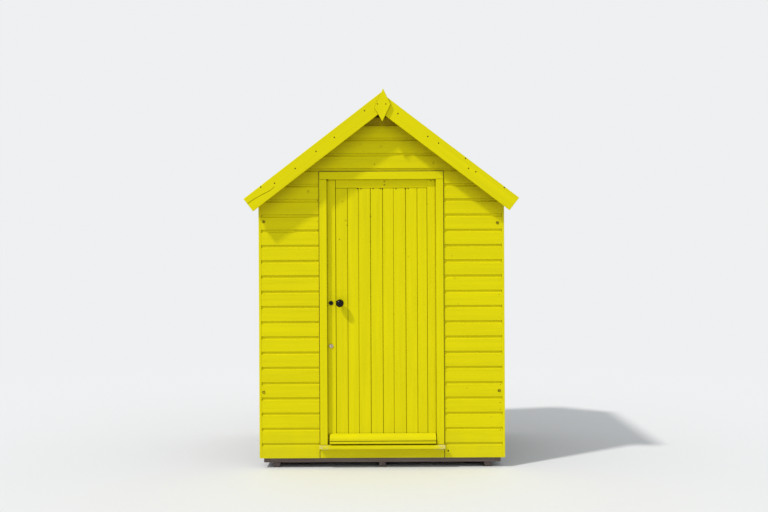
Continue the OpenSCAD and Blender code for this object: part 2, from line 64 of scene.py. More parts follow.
camera_data = bpy.data.cameras.new("camera")
camera_data.sensor_width = SENSOR_WIDTH
camera_data.lens = FOCAL_PIXELS / PHOTO_WIDTH * SENSOR_WIDTH
camera_data.shift_x = SHIFT_PIXELS[0] / PHOTO_WIDTH
camera_data.shift_y = SHIFT_PIXELS[1] / PHOTO_WIDTH
camera = bpy.data.objects.new("camera", camera_data)
camera.location = (VIEW_X, FRONT_Y - VIEW_DISTANCE, VIEW_Z)
camera.rotation_euler = (math.radians(90), VIEW_ROLL, 0)
scene.collection.objects.link(camera)
scene.camera = camera
scene.view_settings.view_transform = "Standard"

key_data = bpy.data.lights.new("key", "SUN")
key_data.energy = KEY_STRENGTH
key_data.color = KEY_COLOUR
key_data.angle = KEY_SPREAD
key = bpy.data.objects.new("key", key_data)
to_key = Vector((-math.sin(KEY_LEFT) * math.cos(KEY_UP),
                 -math.cos(KEY_LEFT) * math.cos(KEY_UP), math.sin(KEY_UP)))
key.rotation_euler = to_key.to_track_quat("Z", "Y").to_euler()
scene.collection.objects.link(key)


def feed(inputs, values):
    """Gives a node's inputs plain values, or other nodes' outputs to link."""
    for label, value in values.items():
        if isinstance(value, bpy.types.NodeSocket):
            inputs[label].id_data.links.new(value, inputs[label])
        else:
            inputs[label].default_value = value


def node(tree, kind, inputs=(), **settings):
    """Adds a shader node with these settings, and feeds its inputs."""
    added = tree.nodes.new("ShaderNode" + kind)
    for label, value in settings.items():
        setattr(added, label, value)
    feed(added.inputs, dict(inputs))
    return added


def tree_of(*values):
    """The node tree of the first of these values that is a node's output."""
    return next(value.id_data for value in values if isinstance(value, bpy.types.NodeSocket))


def worked_out(operation, *values):
    """The result of a Math node."""
    return node(tree_of(*values), "Math", dict(enumerate(values)), operation=operation).outputs[0]


def times(one, other):
    """One value times another."""
    return worked_out("MULTIPLY", one, other)


def larger(one, other):
    """The larger of two values."""
    return worked_out("MAXIMUM", one, other)


def ramp(value, low, high, start=0.0, end=1.0):
    """A value brought from one range to another, and kept in it."""
    return node(tree_of(value), "MapRange",
                {"Value": value, "From Min": low, "From Max": high,
                 "To Min": start, "To Max": end}, interpolation_type="SMOOTHSTEP").outputs[0]


def seen_directly(tree):
    """1 for what the camera, a reflection or glass shows, and 0 for light on surfaces."""
    rays = node(tree, "LightPath").outputs
    mirrored = larger(rays["Is Glossy Ray"], rays["Is Transmission Ray"])
    return larger(rays["Is Camera Ray"], mirrored)


def select_nothing():
    """Leaves edit mode and deselects every object."""
    if bpy.context.mode != "OBJECT":
        bpy.ops.object.mode_set(mode="OBJECT")
    bpy.ops.object.select_all(action="DESELECT")


scene.world = bpy.data.worlds.new("studio")
scene.world.use_nodes = True
tree = scene.world.node_tree
tree.nodes.clear()
light = node(tree, "Background", {"Color": SKY_COLOUR, "Strength": SKY_STRENGTH})
backdrop = node(tree, "Background", {"Color": PALE, "Strength": 1.0})
sky = node(tree, "MixShader", {0: seen_directly(tree), 1: light.outputs[0],
                               2: backdrop.outputs[0]})
node(tree, "OutputWorld", {0: sky.outputs[0]})

select_nothing()
bpy.ops.mesh.primitive_circle_add(vertices=96, radius=FLOOR_RADIUS, fill_type="NGON")
floor = bpy.context.object
floor.name = "floor"
floor_paint = bpy.data.materials.new("pale floor")
floor_paint.use_nodes = True
tree = floor_paint.node_tree
surface = tree.nodes["Principled BSDF"]
feed(surface.inputs, {"Base Color": FLOOR_COLOUR, "Roughness": 0.9, "Specular IOR Level": 0.1})
distance = node(tree, "VectorMath", {0: node(tree, "TexCoord").outputs["Object"]},
                operation="LENGTH").outputs["Value"]
fade = times(ramp(distance, FADE_START, FADE_END), seen_directly(tree))
glow = node(tree, "Emission", {"Color": PALE, "Strength": 1.0})
faded = node(tree, "MixShader", {0: fade, 1: surface.outputs[0], 2: glow.outputs[0]})
feed(tree.nodes["Material Output"].inputs, {0: faded.outputs[0]})
floor.data.materials.append(floor_paint)

# Ground bearers, rims and joists
# Sawn softwood, left bare and weathered to a purplish grey. Three bearers lie on the
# ground, the joists are nailed across them, and the two rims close the joists' ends.
PITCH = math.radians(37.5)
GRAIN = {  # turns that bring the length of a timber onto X
    "across": (0, 0, 0),
    "deep": (0, 0, -math.pi / 2),
    "upright": (0, math.pi / 2, 0),
    "right_slope": (0, -PITCH, 0),
    "left_slope": (0, PITCH, 0),
}


def alone(piece):
    """Selects this piece and nothing else."""
    select_nothing()
    piece.select_set(True)
    bpy.context.view_layer.objects.active = piece


def round_arrises(piece, width, steps):
    """Bevels the sharp edges, and marks the new faces so that paint can wear off them."""
    alone(piece)
    mesh = piece.data
    mesh.materials.clear()
    mesh.materials.append(None)
    mesh.materials.append(None)
    bevel = piece.modifiers.new("arris", "BEVEL")
    bevel.width = width
    bevel.segments = steps
    bevel.limit_method = "ANGLE"
    bevel.angle_limit = math.radians(30)
    bevel.material = 1
    bpy.ops.object.modifier_apply(modifier=bevel.name)
    mark = mesh.attributes.new("arris", "FLOAT", "FACE")
    for face in mesh.polygons:
        mark.data[face.index].value = float(face.material_index)
        face.material_index = 0
    mesh.materials.clear()


def number_boards(piece, seed):
    """Gives each separate board of a piece a number of its own, for its tone and grain."""
    draw = random.Random(seed)
    shape = bmesh.new()
    shape.from_mesh(piece.data)
    shape.faces.ensure_lookup_table()
    number = [None] * len(shape.faces)
    for first in shape.faces:
        if number[first.index] is not None:
            continue
        value = draw.random()
        number[first.index] = value
        waiting = [first]
        while waiting:
            for corner in waiting.pop().verts:
                for face in corner.link_faces:
                    if number[face.index] is None:
                        number[face.index] = value
                        waiting.append(face)
    shape.free()
    mark = piece.data.attributes.new("board", "FLOAT", "FACE")
    mark.data.foreach_set("value", number)


def timber_from(node_name, name, arris=0.0015, steps=1, seed=1):
    """A node's timbers as a new piece, merged, with their arrises taken off."""
    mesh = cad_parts[node_name].data.copy()
    piece = bpy.data.objects.new(name, mesh)
    scene.collection.objects.link(piece)
    alone(piece)
    bpy.ops.mesh.customdata_custom_splitnormals_clear()
    bpy.ops.object.mode_set(mode="EDIT")
    bpy.ops.mesh.select_all(action="SELECT")
    bpy.ops.mesh.remove_doubles(threshold=1e-5)
    bpy.ops.mesh.dissolve_limited(angle_limit=math.radians(0.4))
    bpy.ops.object.mode_set(mode="OBJECT")
    round_arrises(piece, arris, steps)
    number_boards(piece, seed)
    bpy.ops.object.shade_smooth_by_angle(angle=math.radians(18))
    return piece


def shader_group(name, inputs, outputs):
    """A node group, with what it is given and what it gives."""
    group = bpy.data.node_groups.new(name, "ShaderNodeTree")
    for label, kind, value in inputs:
        socket = group.interface.new_socket(label, in_out="INPUT",
                                            socket_type="NodeSocket" + kind)
        socket.default_value = value
    for label, kind in outputs:
        group.interface.new_socket(label, in_out="OUTPUT", socket_type="NodeSocket" + kind)
    return group, group.nodes.new("NodeGroupInput").outputs, \
        group.nodes.new("NodeGroupOutput").inputs


def used(group, inputs):
    """The outputs of a node group that is fed with these inputs."""
    return node(tree_of(*inputs.values()), "Group", inputs, node_tree=group).outputs


def plus(one, other):
    """One value and another, added."""
    return worked_out("ADD", one, other)


def minus(one, other):
    """One value less another."""
    return worked_out("SUBTRACT", one, other)


def coordinate(place, axis):
    """How far the place lies along X, Y or Z."""
    return node(tree_of(place), "SeparateXYZ", {0: place}).outputs[axis]


def moved(place, by):
    """The place, moved by a vector."""
    return node(tree_of(place), "VectorMath", {0: place, 1: by}, operation="ADD").outputs[0]


def stretched(place, by):
    """The place, stretched by three factors."""
    return node(tree_of(place), "VectorMath", {0: place, 1: by}, operation="MULTIPLY").outputs[0]


def turned(place, grain):
    """The place, turned so that this grain runs along X."""
    return node(tree_of(place), "Mapping",
                {"Vector": place, "Rotation": GRAIN[grain]}).outputs[0]


def noise(place, scale, detail=2.0, rough=0.5):
    """Soft blotches, this many to the metre."""
    return node(tree_of(place), "TexNoise", {"Vector": place, "Scale": scale, "Detail": detail,
                                             "Roughness": rough}).outputs["Fac"]


def streaks(place, by, detail=2.0, rough=0.5):
    """Blotches with a number to the metre of their own along each axis."""
    return noise(stretched(place, by), 1.0, detail, rough)


def layered(colour, *layers):
    """A colour with others laid over it in turn, each by its share."""
    for share, over in layers:
        colour = node(tree_of(share), "Mix", {0: share, 6: colour, 7: over},
                      data_type="RGBA").outputs[2]
    return colour


def toned(colour, red, green, blue):
    """A colour with its red, green and blue each cut to a share."""
    return (colour[0] * red, colour[1] * green, colour[2] * blue, 1)


# The figure of softwood along X: growth rings, fibres, knots and drying cracks
wood_figure, given, gives = shader_group(
    "wood figure",
    [("Place", "Vector", (0, 0, 0)), ("Board", "Float", 0.0)],
    [("Rings", "Float"), ("Fibre", "Float"), ("Knot", "Float"), ("Crack", "Float")])
BOARD_TO_BOARD = (5.3, 2.7, 3.9)  # how far a board's number moves its figure
place = moved(given["Place"], node(wood_figure, "VectorMath", {
    0: BOARD_TO_BOARD, "Scale": given["Board"]}, operation="SCALE").outputs[0])
to_knot = node(wood_figure, "TexVoronoi", {
    "Vector": stretched(place, (0.8, 1, 1)), "Scale": 6.5}).outputs["Distance"]
swirl = ramp(to_knot, 0.05, 0.20, 0.022, 0.0)
bent = moved(place, node(wood_figure, "CombineXYZ", {1: swirl, 2: swirl}).outputs[0])
rings = node(wood_figure, "TexWave", {
    "Vector": stretched(bent, (0.1, 1, 1)), "Scale": 34.0, "Distortion": 9.0, "Detail": 2.0,
    "Detail Scale": 0.16}, wave_type="RINGS", rings_direction="X").outputs["Fac"]
fibre = plus(times(streaks(place, (3, 150, 150), 4, 0.6), 0.55),
             times(streaks(place, (1.3, 26, 26), 3, 0.55), 0.45))
knot = plus(to_knot, times(streaks(place, (40, 70, 70), 3), 0.05))
crack = worked_out("ABSOLUTE", minus(streaks(place, (1.1, 70, 70)), 0.5))
crack = times(ramp(crack, 0.0, 0.012, 1.0, 0.0), ramp(streaks(place, (2.5, 16, 16)), 0.56, 0.66))
feed(gives, {"Rings": rings, "Fibre": fibre, "Knot": ramp(knot, 0.025, 0.125, 1.0, 0.0),
             "Crack": crack})

# Damp and dirt that rise from the ground, and the green growth that likes them
ground_damp, given, gives = shader_group(
    "ground damp", [("Place", "Vector", (0, 0, 0)), ("Reach", "Float", 0.4)],
    [("Damp", "Float")])
rise = worked_out("DIVIDE", coordinate(given["Place"], "Z"), given["Reach"])
damp = minus(plus(streaks(given["Place"], (5, 5, 1.6), 5, 0.6), 0.35), rise)
feed(gives, {"Damp": ramp(damp, 0.0, 0.8)})


def new_material(name):
    """A material, its shader's inputs, and the place on the object."""
    material = bpy.data.materials.new(name)
    material.use_nodes = True
    tree = material.node_tree
    return material, tree.nodes["Principled BSDF"].inputs, \
        node(tree, "TexCoord").outputs["Object"]


def marked(material, name):
    """The number of this name that the faces of a piece carry."""
    return node(material.node_tree, "Attribute", attribute_name=name).outputs["Fac"]


def open_air(material, reach, samples=8):
    """1 in the open, and less where other faces stand within reach, as down in a joint."""
    return node(material.node_tree, "AmbientOcclusion", {"Distance": reach},
                samples=samples).outputs["AO"]


def bumps(height, depth, strength):
    """The normal of a surface that rises and falls with a value."""
    return node(tree_of(height), "Bump", {"Height": height, "Distance": depth,
                                          "Strength": strength}).outputs[0]


def weathered_timber(name, grain, brown, grey, green, growth):
    """Bare outdoor wood that has gone grey, with green growth where it stays damp."""
    material, skin, place = new_material(name)
    board = marked(material, "board")
    figure = used(wood_figure, {"Place": turned(place, grain), "Board": board})
    damp = used(ground_damp, {"Place": place, "Reach": 0.9})["Damp"]
    dry_eaves = ramp(coordinate(place, "Z"), 1.75, 2.0, 1.0, 0.25)
    run_down = times(ramp(streaks(place, (9, 9, 0.8), 5, 0.68), 0.3, 0.72), growth)
    green_share = larger(times(run_down, dry_eaves), times(damp, growth))
    split = larger(figure["Crack"], ramp(figure["Knot"], 0.3, 0.7))
    # Cracks and knots are dark, and so is the wood down in joints and under laps: painted shade
    dark = larger(times(split, 0.6), ramp(open_air(material, 0.016), 0.35, 0.92, 0.92, 0.0))
    colour = layered(
        brown,
        (ramp(figure["Fibre"], 0.35, 0.65), grey),
        (times(board, 0.35), brown),
        (times(figure["Rings"], 0.25), toned(brown, 0.5, 0.5, 0.5)),
        (green_share, green),
        (dark, (0.018, 0.014, 0.01, 1)))
    height = plus(minus(figure["Fibre"], figure["Crack"]), times(figure["Rings"], 0.3))
    feed(skin, {"Base Color": colour, "Roughness": ramp(figure["Fibre"], 0.2, 0.8, 0.72, 0.92),
                "Specular IOR Level": 0.25, "Normal": bumps(height, 0.0012, 0.8)})
    return material


def base_wood(grain):
    """The purplish grey of the timbers under the floor."""
    return weathered_timber("weathered base " + grain, grain, (0.115, 0.074, 0.066, 1),
                            (0.235, 0.190, 0.200, 1), (0.10, 0.105, 0.065, 1), 0.14)


base_deep, base_across = base_wood("deep"), base_wood("across")
for node_name, name, look in (("ground_bearers", "bearers", base_deep),
                              ("floor_side_rims", "side_rims", base_deep),
                              ("floor_joists", "joists", base_across)):
    piece = timber_from(node_name, name, arris=0.002, seed=11)
    piece.data.materials.append(look)
    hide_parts(node_name)
    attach(piece, "root")

# Floorboards
# Tongued softwood boards, 118 mm wide and 16 mm thick, nailed down across the joists.
# They are bare, and greyer and dirtier than the timbers over them.
FLOOR_COUNT = 15
FLOOR_JOINT = 0.0005  # half the gap between two boards
FLOOR_ARRIS = 0.001
TIMBER = 0.038  # how thick the joists and the frame's timbers are


def moulding(name, outline, run):
    """A bar drawn as an outline, point by point, and drawn out along a vector."""
    select_nothing()
    points = [Vector(point) for point in outline]
    bpy.ops.mesh.primitive_plane_add(size=0.001, location=points[0])
    bar = bpy.context.object
    bar.name = bar.data.name = name
    bpy.ops.object.transform_apply(location=True)
    bpy.ops.object.mode_set(mode="EDIT")
    bpy.ops.mesh.merge(type="CENTER")
    for here, there in zip(points, points[1:]):
        bpy.ops.mesh.extrude_region_move(TRANSFORM_OT_translate={"value": there - here})
    bpy.ops.mesh.select_all(action="SELECT")
    bpy.ops.mesh.edge_face_add()
    bpy.ops.mesh.extrude_region_move(TRANSFORM_OT_translate={"value": run})
    bpy.ops.mesh.select_all(action="SELECT")
    bpy.ops.mesh.normals_make_consistent(inside=False)
    bpy.ops.object.mode_set(mode="OBJECT")
    bar.data.uv_layers.remove(bar.data.uv_layers[0])
    return bar


def tongue(edge, start, stop, reach):
    """Four corners of an outline: a tongue that stands past an edge, or a groove inside it."""
    return [(edge, start), (edge + reach, start), (edge + reach, stop), (edge, stop)]


def repeated(piece, count, step):
    """Copies of a piece in a row, each with its own mesh, joined to it."""
    alone(piece)
    row = piece.modifiers.new("row", "ARRAY")
    row.use_relative_offset = False
    row.use_constant_offset = True
    row.constant_offset_displace = step
    row.count = count
    bpy.ops.object.modifier_apply(modifier=row.name)


def trim(piece, place, outward):
    """Cuts a piece off along a plane and closes the cut."""
    alone(piece)
    bpy.ops.object.mode_set(mode="EDIT")
    bpy.ops.mesh.select_all(action="SELECT")
    bpy.ops.mesh.bisect(plane_co=place, plane_no=outward, use_fill=True, clear_outer=True)
    bpy.ops.object.mode_set(mode="OBJECT")


def joined(name, pieces):
    """Several pieces as one."""
    alone(pieces[0])
    for piece in pieces[1:]:
        piece.select_set(True)
    if len(pieces) > 1:
        bpy.ops.object.join()
    pieces[0].name = pieces[0].data.name = name
    return pieces[0]


def one_head(radius, rise, sides, chamfer, slotted):
    """The head of a nail, screw or bolt, facing up and sunk a little into what it holds."""
    sunk = 0.0005
    half_slot, slot_depth = radius * 0.14, rise * 0.8
    select_nothing()
    bpy.ops.mesh.primitive_circle_add(vertices=sides, radius=radius, fill_type="NGON")
    head = bpy.context.object
    head.data.uv_layers.remove(head.data.uv_layers[0])
    bpy.ops.object.mode_set(mode="EDIT")
    bpy.ops.mesh.select_all(action="SELECT")
    bpy.ops.transform.translate(value=(0, 0, -sunk))
    bpy.ops.mesh.extrude_region_move(
        TRANSFORM_OT_translate={"value": (0, 0, sunk + rise * 0.6)})
    bpy.ops.mesh.inset(thickness=radius * chamfer, depth=rise * 0.4)
    if slotted:
        for side in (-half_slot, half_slot):
            bpy.ops.mesh.select_all(action="SELECT")
            bpy.ops.mesh.bisect(plane_co=(side, 0, 0), plane_no=(1, 0, 0))
        bpy.ops.mesh.select_all(action="DESELECT")
        shape = bmesh.from_edit_mesh(head.data)
        for face in shape.faces:
            middle = face.calc_center_median()
            if abs(middle.x) < half_slot and middle.z > rise * 0.99:
                face.select_set(True)
        bmesh.update_edit_mesh(head.data)
        bpy.ops.mesh.extrude_region_move(TRANSFORM_OT_translate={"value": (0, 0, -slot_depth)})
    bpy.ops.mesh.select_all(action="SELECT")
    bpy.ops.mesh.normals_make_consistent(inside=False)
    bpy.ops.object.mode_set(mode="OBJECT")
    return head


FACING = {  # turns that bring +Z to where a face looks
    "front": (math.pi / 2, 0, 0),
    "back": (-math.pi / 2, 0, 0),
    "right": (0, math.pi / 2, 0),
    "left": (0, -math.pi / 2, 0),
    "up": (0, 0, 0),
    "right_slope": (0, PITCH, 0),
    "left_slope": (0, -PITCH, 0),
    "right_eaves": (0, math.pi / 2 + PITCH, 0),
    "left_eaves": (0, -math.pi / 2 - PITCH, 0),
}


def heads(name, places, facing, look, body, radius=0.003, rise=0.001, sides=8,
          chamfer=0.3, slotted=False):
    """Heads of nails, screws or bolts: one is shaped, and the others are its copies."""
    first = one_head(radius, rise, sides, chamfer, slotted)
    row = [first]
    for _ in places[1:]:
        copy = first.copy()
        copy.data = first.data.copy()
        scene.collection.objects.link(copy)
        row.append(copy)
    draw = random.Random(name)
    for head, place in zip(row, places):
        spin = Matrix.Rotation(draw.uniform(0, math.pi), 3, "Z")
        head.rotation_euler = (Euler(FACING[facing]).to_matrix() @ spin).to_euler()
        head.location = place
    row = joined(name, row)
    bpy.ops.object.transform_apply(location=True, rotation=True)
    row.data.materials.append(look)
    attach(row, body)


def rows_of(node_name, axis, count):
    """The middles of a row of like timbers, evenly spaced along an axis."""
    first, last = (corner[axis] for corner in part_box(node_name))
    first, last = first + TIMBER / 2, last - TIMBER / 2
    return [first + (last - first) * i / (count - 1) for i in range(count)]


def bare_timber(name, grain, pale=(0.50, 0.33, 0.17, 1), dark=(0.30, 0.165, 0.07, 1),
                soiled=0.25):
    """Planed softwood under a roof: honey coloured, with knots, and dusty low down."""
    material, skin, place = new_material(name)
    board = marked(material, "board")
    figure = used(wood_figure, {"Place": turned(place, grain), "Board": board})
    damp = used(ground_damp, {"Place": place, "Reach": 0.5})["Damp"]
    # Dust rises from the ground, and joints and corners are darkened by painted shade
    dust_and_shade = larger(times(damp, soiled), ramp(open_air(material, 0.04, 5), 0.2, 0.95, 0.55, 0.0))
    colour = layered(
        pale,
        (times(figure["Rings"], 0.6), dark),
        (ramp(figure["Fibre"], 0.35, 0.75, 0.0, 0.35), dark),
        (times(board, 0.3), toned(pale, 0.72, 0.66, 0.6)),
        (ramp(figure["Knot"], 0.2, 0.5, 0.0, 0.85), (0.13, 0.055, 0.022, 1)),
        (dust_and_shade, (0.075, 0.055, 0.038, 1)))
    height = plus(figure["Fibre"], times(figure["Rings"], 0.4))
    feed(skin, {"Base Color": colour, "Roughness": ramp(figure["Fibre"], 0.2, 0.8, 0.55, 0.75),
                "Specular IOR Level": 0.35, "Normal": bumps(height, 0.0005, 0.5)})
    return material


low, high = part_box("floor_boards")
pitch_x = (high.x - low.x) / FLOOR_COUNT
left, right = low.x + FLOOR_JOINT, low.x + pitch_x - FLOOR_JOINT
foot, top = low.z, high.z
outline = [(left, foot), (right, foot)] + tongue(right, foot + 0.005, foot + 0.010, 0.005) + [
    (right, top - FLOOR_ARRIS), (right - FLOOR_ARRIS, top), (left + FLOOR_ARRIS, top),
    (left, top - FLOOR_ARRIS)] + tongue(left, foot + 0.0105, foot + 0.0045, 0.006)
floor_board = moulding("floor_boards_laid", [(x, low.y, z) for x, z in outline],
                       Vector((0, high.y - low.y, 0)))
repeated(floor_board, FLOOR_COUNT, (pitch_x, 0, 0))
trim(floor_board, (high.x, 0, 0), (1, 0, 0))
number_boards(floor_board, 21)
floor_board.data.materials.append(bare_timber(
    "floor wood", "deep", (0.44, 0.31, 0.18, 1), (0.25, 0.15, 0.075, 1), 0.7))
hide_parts("floor_boards")
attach(floor_board, "root")

rusty, skin, place = new_material("rusty nail")
rust = noise(place, 900.0, 3, 0.6)
colour = layered((0.012, 0.007, 0.004, 1), (ramp(rust, 0.35, 0.65), (0.060, 0.024, 0.008, 1)))
feed(skin, {"Base Color": colour, "Roughness": ramp(rust, 0.3, 0.7, 0.6, 0.9),
            "Specular IOR Level": 0.12, "Normal": bumps(rust, 0.0002, 0.5)})
heads("floor_nails", [(low.x + (i + 0.5) * pitch_x + off, joist, top)
                      for i in range(FLOOR_COUNT) for joist in rows_of("floor_joists", 1, 5)
                      for off in (-0.036, 0.036)],
      "up", rusty, "root", radius=0.0026, rise=0.0002)

# Wall frame
# Planed 38 x 50 mm softwood, nailed together: plates on the floor, studs, eaves plates,
# and in each gable a rail over the door's height, a king post and two rafters.
inside_look = {grain: bare_timber("frame wood " + grain, grain) for grain in GRAIN}


def slope_looks(piece):
    """Bare wood on timbers of both slopes in one node: each takes its own slope's grain."""
    piece.data.materials.append(inside_look["right_slope"])
    piece.data.materials.append(inside_look["left_slope"])
    for face in piece.data.polygons:
        face.material_index = int(face.center.x < 0)


for node_name, grain in (("end_bottom_plates", "across"), ("side_bottom_plates", "deep"),
                         ("front_studs", "upright"), ("side_studs", "upright"),
                         ("back_studs", "upright"), ("eaves_plates", "deep"),
                         ("gable_head_rails", "across"), ("gable_king_posts", "upright")):
    piece = timber_from(node_name, node_name + "_planed", seed=len(node_name))
    piece.data.materials.append(inside_look[grain])
    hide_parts(node_name)
    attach(piece, "root")

piece = timber_from("gable_rafters", "gable_rafters_planed", seed=31)
slope_looks(piece)
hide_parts("gable_rafters")
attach(piece, "root")

# Shiplap boarding
# Softwood shiplap, 16 mm thick with 113.5 mm of cover: each board laps over the tongue of
# the one below, which has a scoop cut into its face there. The front is painted yellow
# outside, the sides and back are bare and weathered, and all of it is bare inside.
COVER = 0.11355
BOARD_T = 0.016
BOARDS_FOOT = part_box("front_cladding_left")[0].z
APEX_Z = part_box("back_cladding")[1].z
BACK_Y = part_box("back_cladding")[1].y
SLOPE_RIGHT = Vector((math.sin(PITCH), 0, math.cos(PITCH)))
SLOPE_LEFT = Vector((-math.sin(PITCH), 0, math.cos(PITCH)))
YELLOW = (0.775, 0.695, 0.001, 1)

# Knots that show through the front's paint, faint, plain or dark, and one dark mark of painted
# shade: how far across, how high, and their radius
FRONT_KNOTS_AND_SHADE_MARK = {
    0.20: [(-0.152, 2.411, 0.009), (0.161, 2.485, 0.008), (-0.637, 1.773, 0.011),
           (0.526, 1.577, 0.009), (0.632, 0.590, 0.009), (-0.131, 2.361, 0.007),
           (-0.508, 1.736, 0.006), (0.813, 0.376, 0.008), (0.204, 1.574, 0.009),
           (0.546, 1.413, 0.014), (0.002, 2.398, 0.013), (0.569, 1.219, 0.009),
           (0.043, 2.311, 0.008)],
    0.38: [(-0.048, 2.262, 0.009), (0.391, 2.270, 0.010), (-0.290, 1.988, 0.009),
           (-0.266, 1.845, 0.009), (-0.169, 1.882, 0.005), (0.347, 1.965, 0.006),
           (-0.544, 2.062, 0.013)],
    0.85: [(0.372, 2.139, 0.006), (-0.255, 1.810, 0.006), (-0.312, 1.705, 0.006),
           (0.0245, 2.137, 0.008), (0.0245, 2.110, 0.008), (-0.0805, 1.874, 0.006),
           # The last, at the door's top left corner, is painted shade in the gap there
           (-0.0805, 1.686, 0.005), (-0.4017, 2.148, 0.008)]}
front_knot_and_shade_marks, given, gives = shader_group(
    "knots and shade mark of the front", [("Place", "Vector", (0, 0, 0))], [("Knot", "Float")])
flat = stretched(given["Place"], (1, 0, 1))
ragged = noise(given["Place"], 170.0, 3, 0.6)
knot = 0.0
for strength, knots in FRONT_KNOTS_AND_SHADE_MARK.items():
    nearest = 9.0
    for across, up, radius in knots:
        away = node(front_knot_and_shade_marks, "VectorMath", {0: flat, 1: (across, 0, up)},
                    operation="DISTANCE").outputs["Value"]
        nearest = worked_out("MINIMUM", nearest, worked_out("DIVIDE", away, radius))
    knot = larger(knot, ramp(plus(nearest, ragged), 0.9, 1.8, strength, 0.0))
feed(gives, {"Knot": knot})

# Paint on wood outdoors: a little uneven, over raised grain and knots, dirty and with painted
# shade in the joints, with a few dark specks, and worn off some of the arrises
paint_skin, given, gives = shader_group(
    "paint on wood",
    [("Place", "Vector", (0, 0, 0)), ("Along", "Vector", (0, 0, 0)),
     ("Paint", "Color", YELLOW), ("Board", "Float", 0.0), ("Rings", "Float", 0.0),
     ("Fibre", "Float", 0.0), ("Knot", "Float", 0.0), ("Open", "Float", 1.0),
     ("Arris", "Float", 0.0), ("Worn", "Float", 0.5)],
    [("Color", "Color"), ("Roughness", "Float"), ("Height", "Float")])
place, along = given["Place"], given["Along"]
x, y, z = (coordinate(place, axis) for axis in "XYZ")
cloud = noise(place, 2.3, 3, 0.55)
broad = streaks(along, (1.1, 34, 34), 3, 0.6)
damp = used(ground_damp, {"Place": place, "Reach": 0.42})["Damp"]

# The front's knots and its mark of painted shade are put in their places, and the knots of
# other pieces are scattered
BEHIND_FRONT = -0.74
placed = times(used(front_knot_and_shade_marks, {"Place": place})["Knot"], worked_out("LESS_THAN", y, 0.0))
scattered = times(ramp(given["Knot"], 0.42, 0.8), worked_out("GREATER_THAN", y, BEHIND_FRONT))
knot = larger(placed, times(scattered, 0.5))
speck = node(paint_skin, "TexVoronoi", {"Vector": place, "Scale": 34.0},
             feature="F1").outputs["Distance"]
speck = times(ramp(speck, 0.04, 0.10, 0.30, 0.0), ramp(noise(place, 3.1, 2), 0.52, 0.6))

# Dirt and painted shade darken the front wall in the shelter of the roof, and under the ridge
# the painted shade of the hollow behind the finial is near black
below_roof = minus(times(minus(APEX_Z, z), math.cos(PITCH)),
                   times(worked_out("ABSOLUTE", x), math.sin(PITCH)))
on_wall = times(worked_out("GREATER_THAN", y, FRONT_Y - 0.004),
                worked_out("LESS_THAN", y, FRONT_Y + 0.03))
on_wall = times(on_wall, worked_out("GREATER_THAN", below_roof, 0.01))
to_ridge = plus(z, times(noise(place, 24.0, 4, 0.6), 0.03))
roof_dirt_and_shade = plus(ramp(below_roof, 0.085, 0.20, 0.26, 0.0), ramp(to_ridge, 2.535, 2.585, 0.0, 0.42))
ridge_hollow_shade = ramp(to_ridge, 2.618, 2.636, 0.0, 0.92)

# Down in joints, gaps and under laps the paint is darkened: partly dirt, partly painted shade
joint_dirt_and_shade = times(ramp(given["Open"], 0.36, 0.86, 1.0, 0.0), 0.88)
rub = streaks(along, (7, 60, 60), 4, 0.65)
rub = times(given["Arris"], ramp(plus(rub, times(given["Worn"], 0.3)), 0.78, 0.86))
colour = layered(
    given["Paint"],
    (ramp(cloud, 0.3, 0.7, 0.0, 0.12), (0.60, 0.53, 0.004, 1)),
    (times(given["Board"], 0.14), (0.63, 0.535, 0.004, 1)),
    (times(given["Rings"], 0.05), (0.45, 0.38, 0.005, 1)),
    (ramp(given["Fibre"], 0.45, 0.66, 0.0, 0.16), (0.47, 0.41, 0.003, 1)),
    (ramp(broad, 0.34, 0.68, 0.16, 0.0), (0.50, 0.47, 0.003, 1)),
    (knot, (0.26, 0.20, 0.008, 1)),
    (speck, (0.17, 0.13, 0.02, 1)),
    (times(damp, 0.2), (0.38, 0.36, 0.03, 1)),
    # Painted shade with some dirt under the roof, and near-black painted shade under the ridge
    (times(roof_dirt_and_shade, on_wall), (0.20, 0.10, 0.008, 1)),
    (times(ridge_hollow_shade, on_wall), (0.012, 0.007, 0.004, 1)),
    # Dirt and painted shade down in the joints
    (joint_dirt_and_shade, (0.085, 0.058, 0.004, 1)),
    (rub, (0.44, 0.37, 0.27, 1)))
brush = streaks(along, (6, 260, 260))
height = plus(times(brush, 0.35), times(given["Fibre"], 0.55))
height = minus(plus(height, times(given["Rings"], 0.25)), times(rub, 0.8))
feed(gives, {"Color": colour, "Height": height,
             "Roughness": plus(ramp(cloud, 0.3, 0.7, 0.42, 0.56), times(larger(rub, joint_dirt_and_shade), 0.3))})


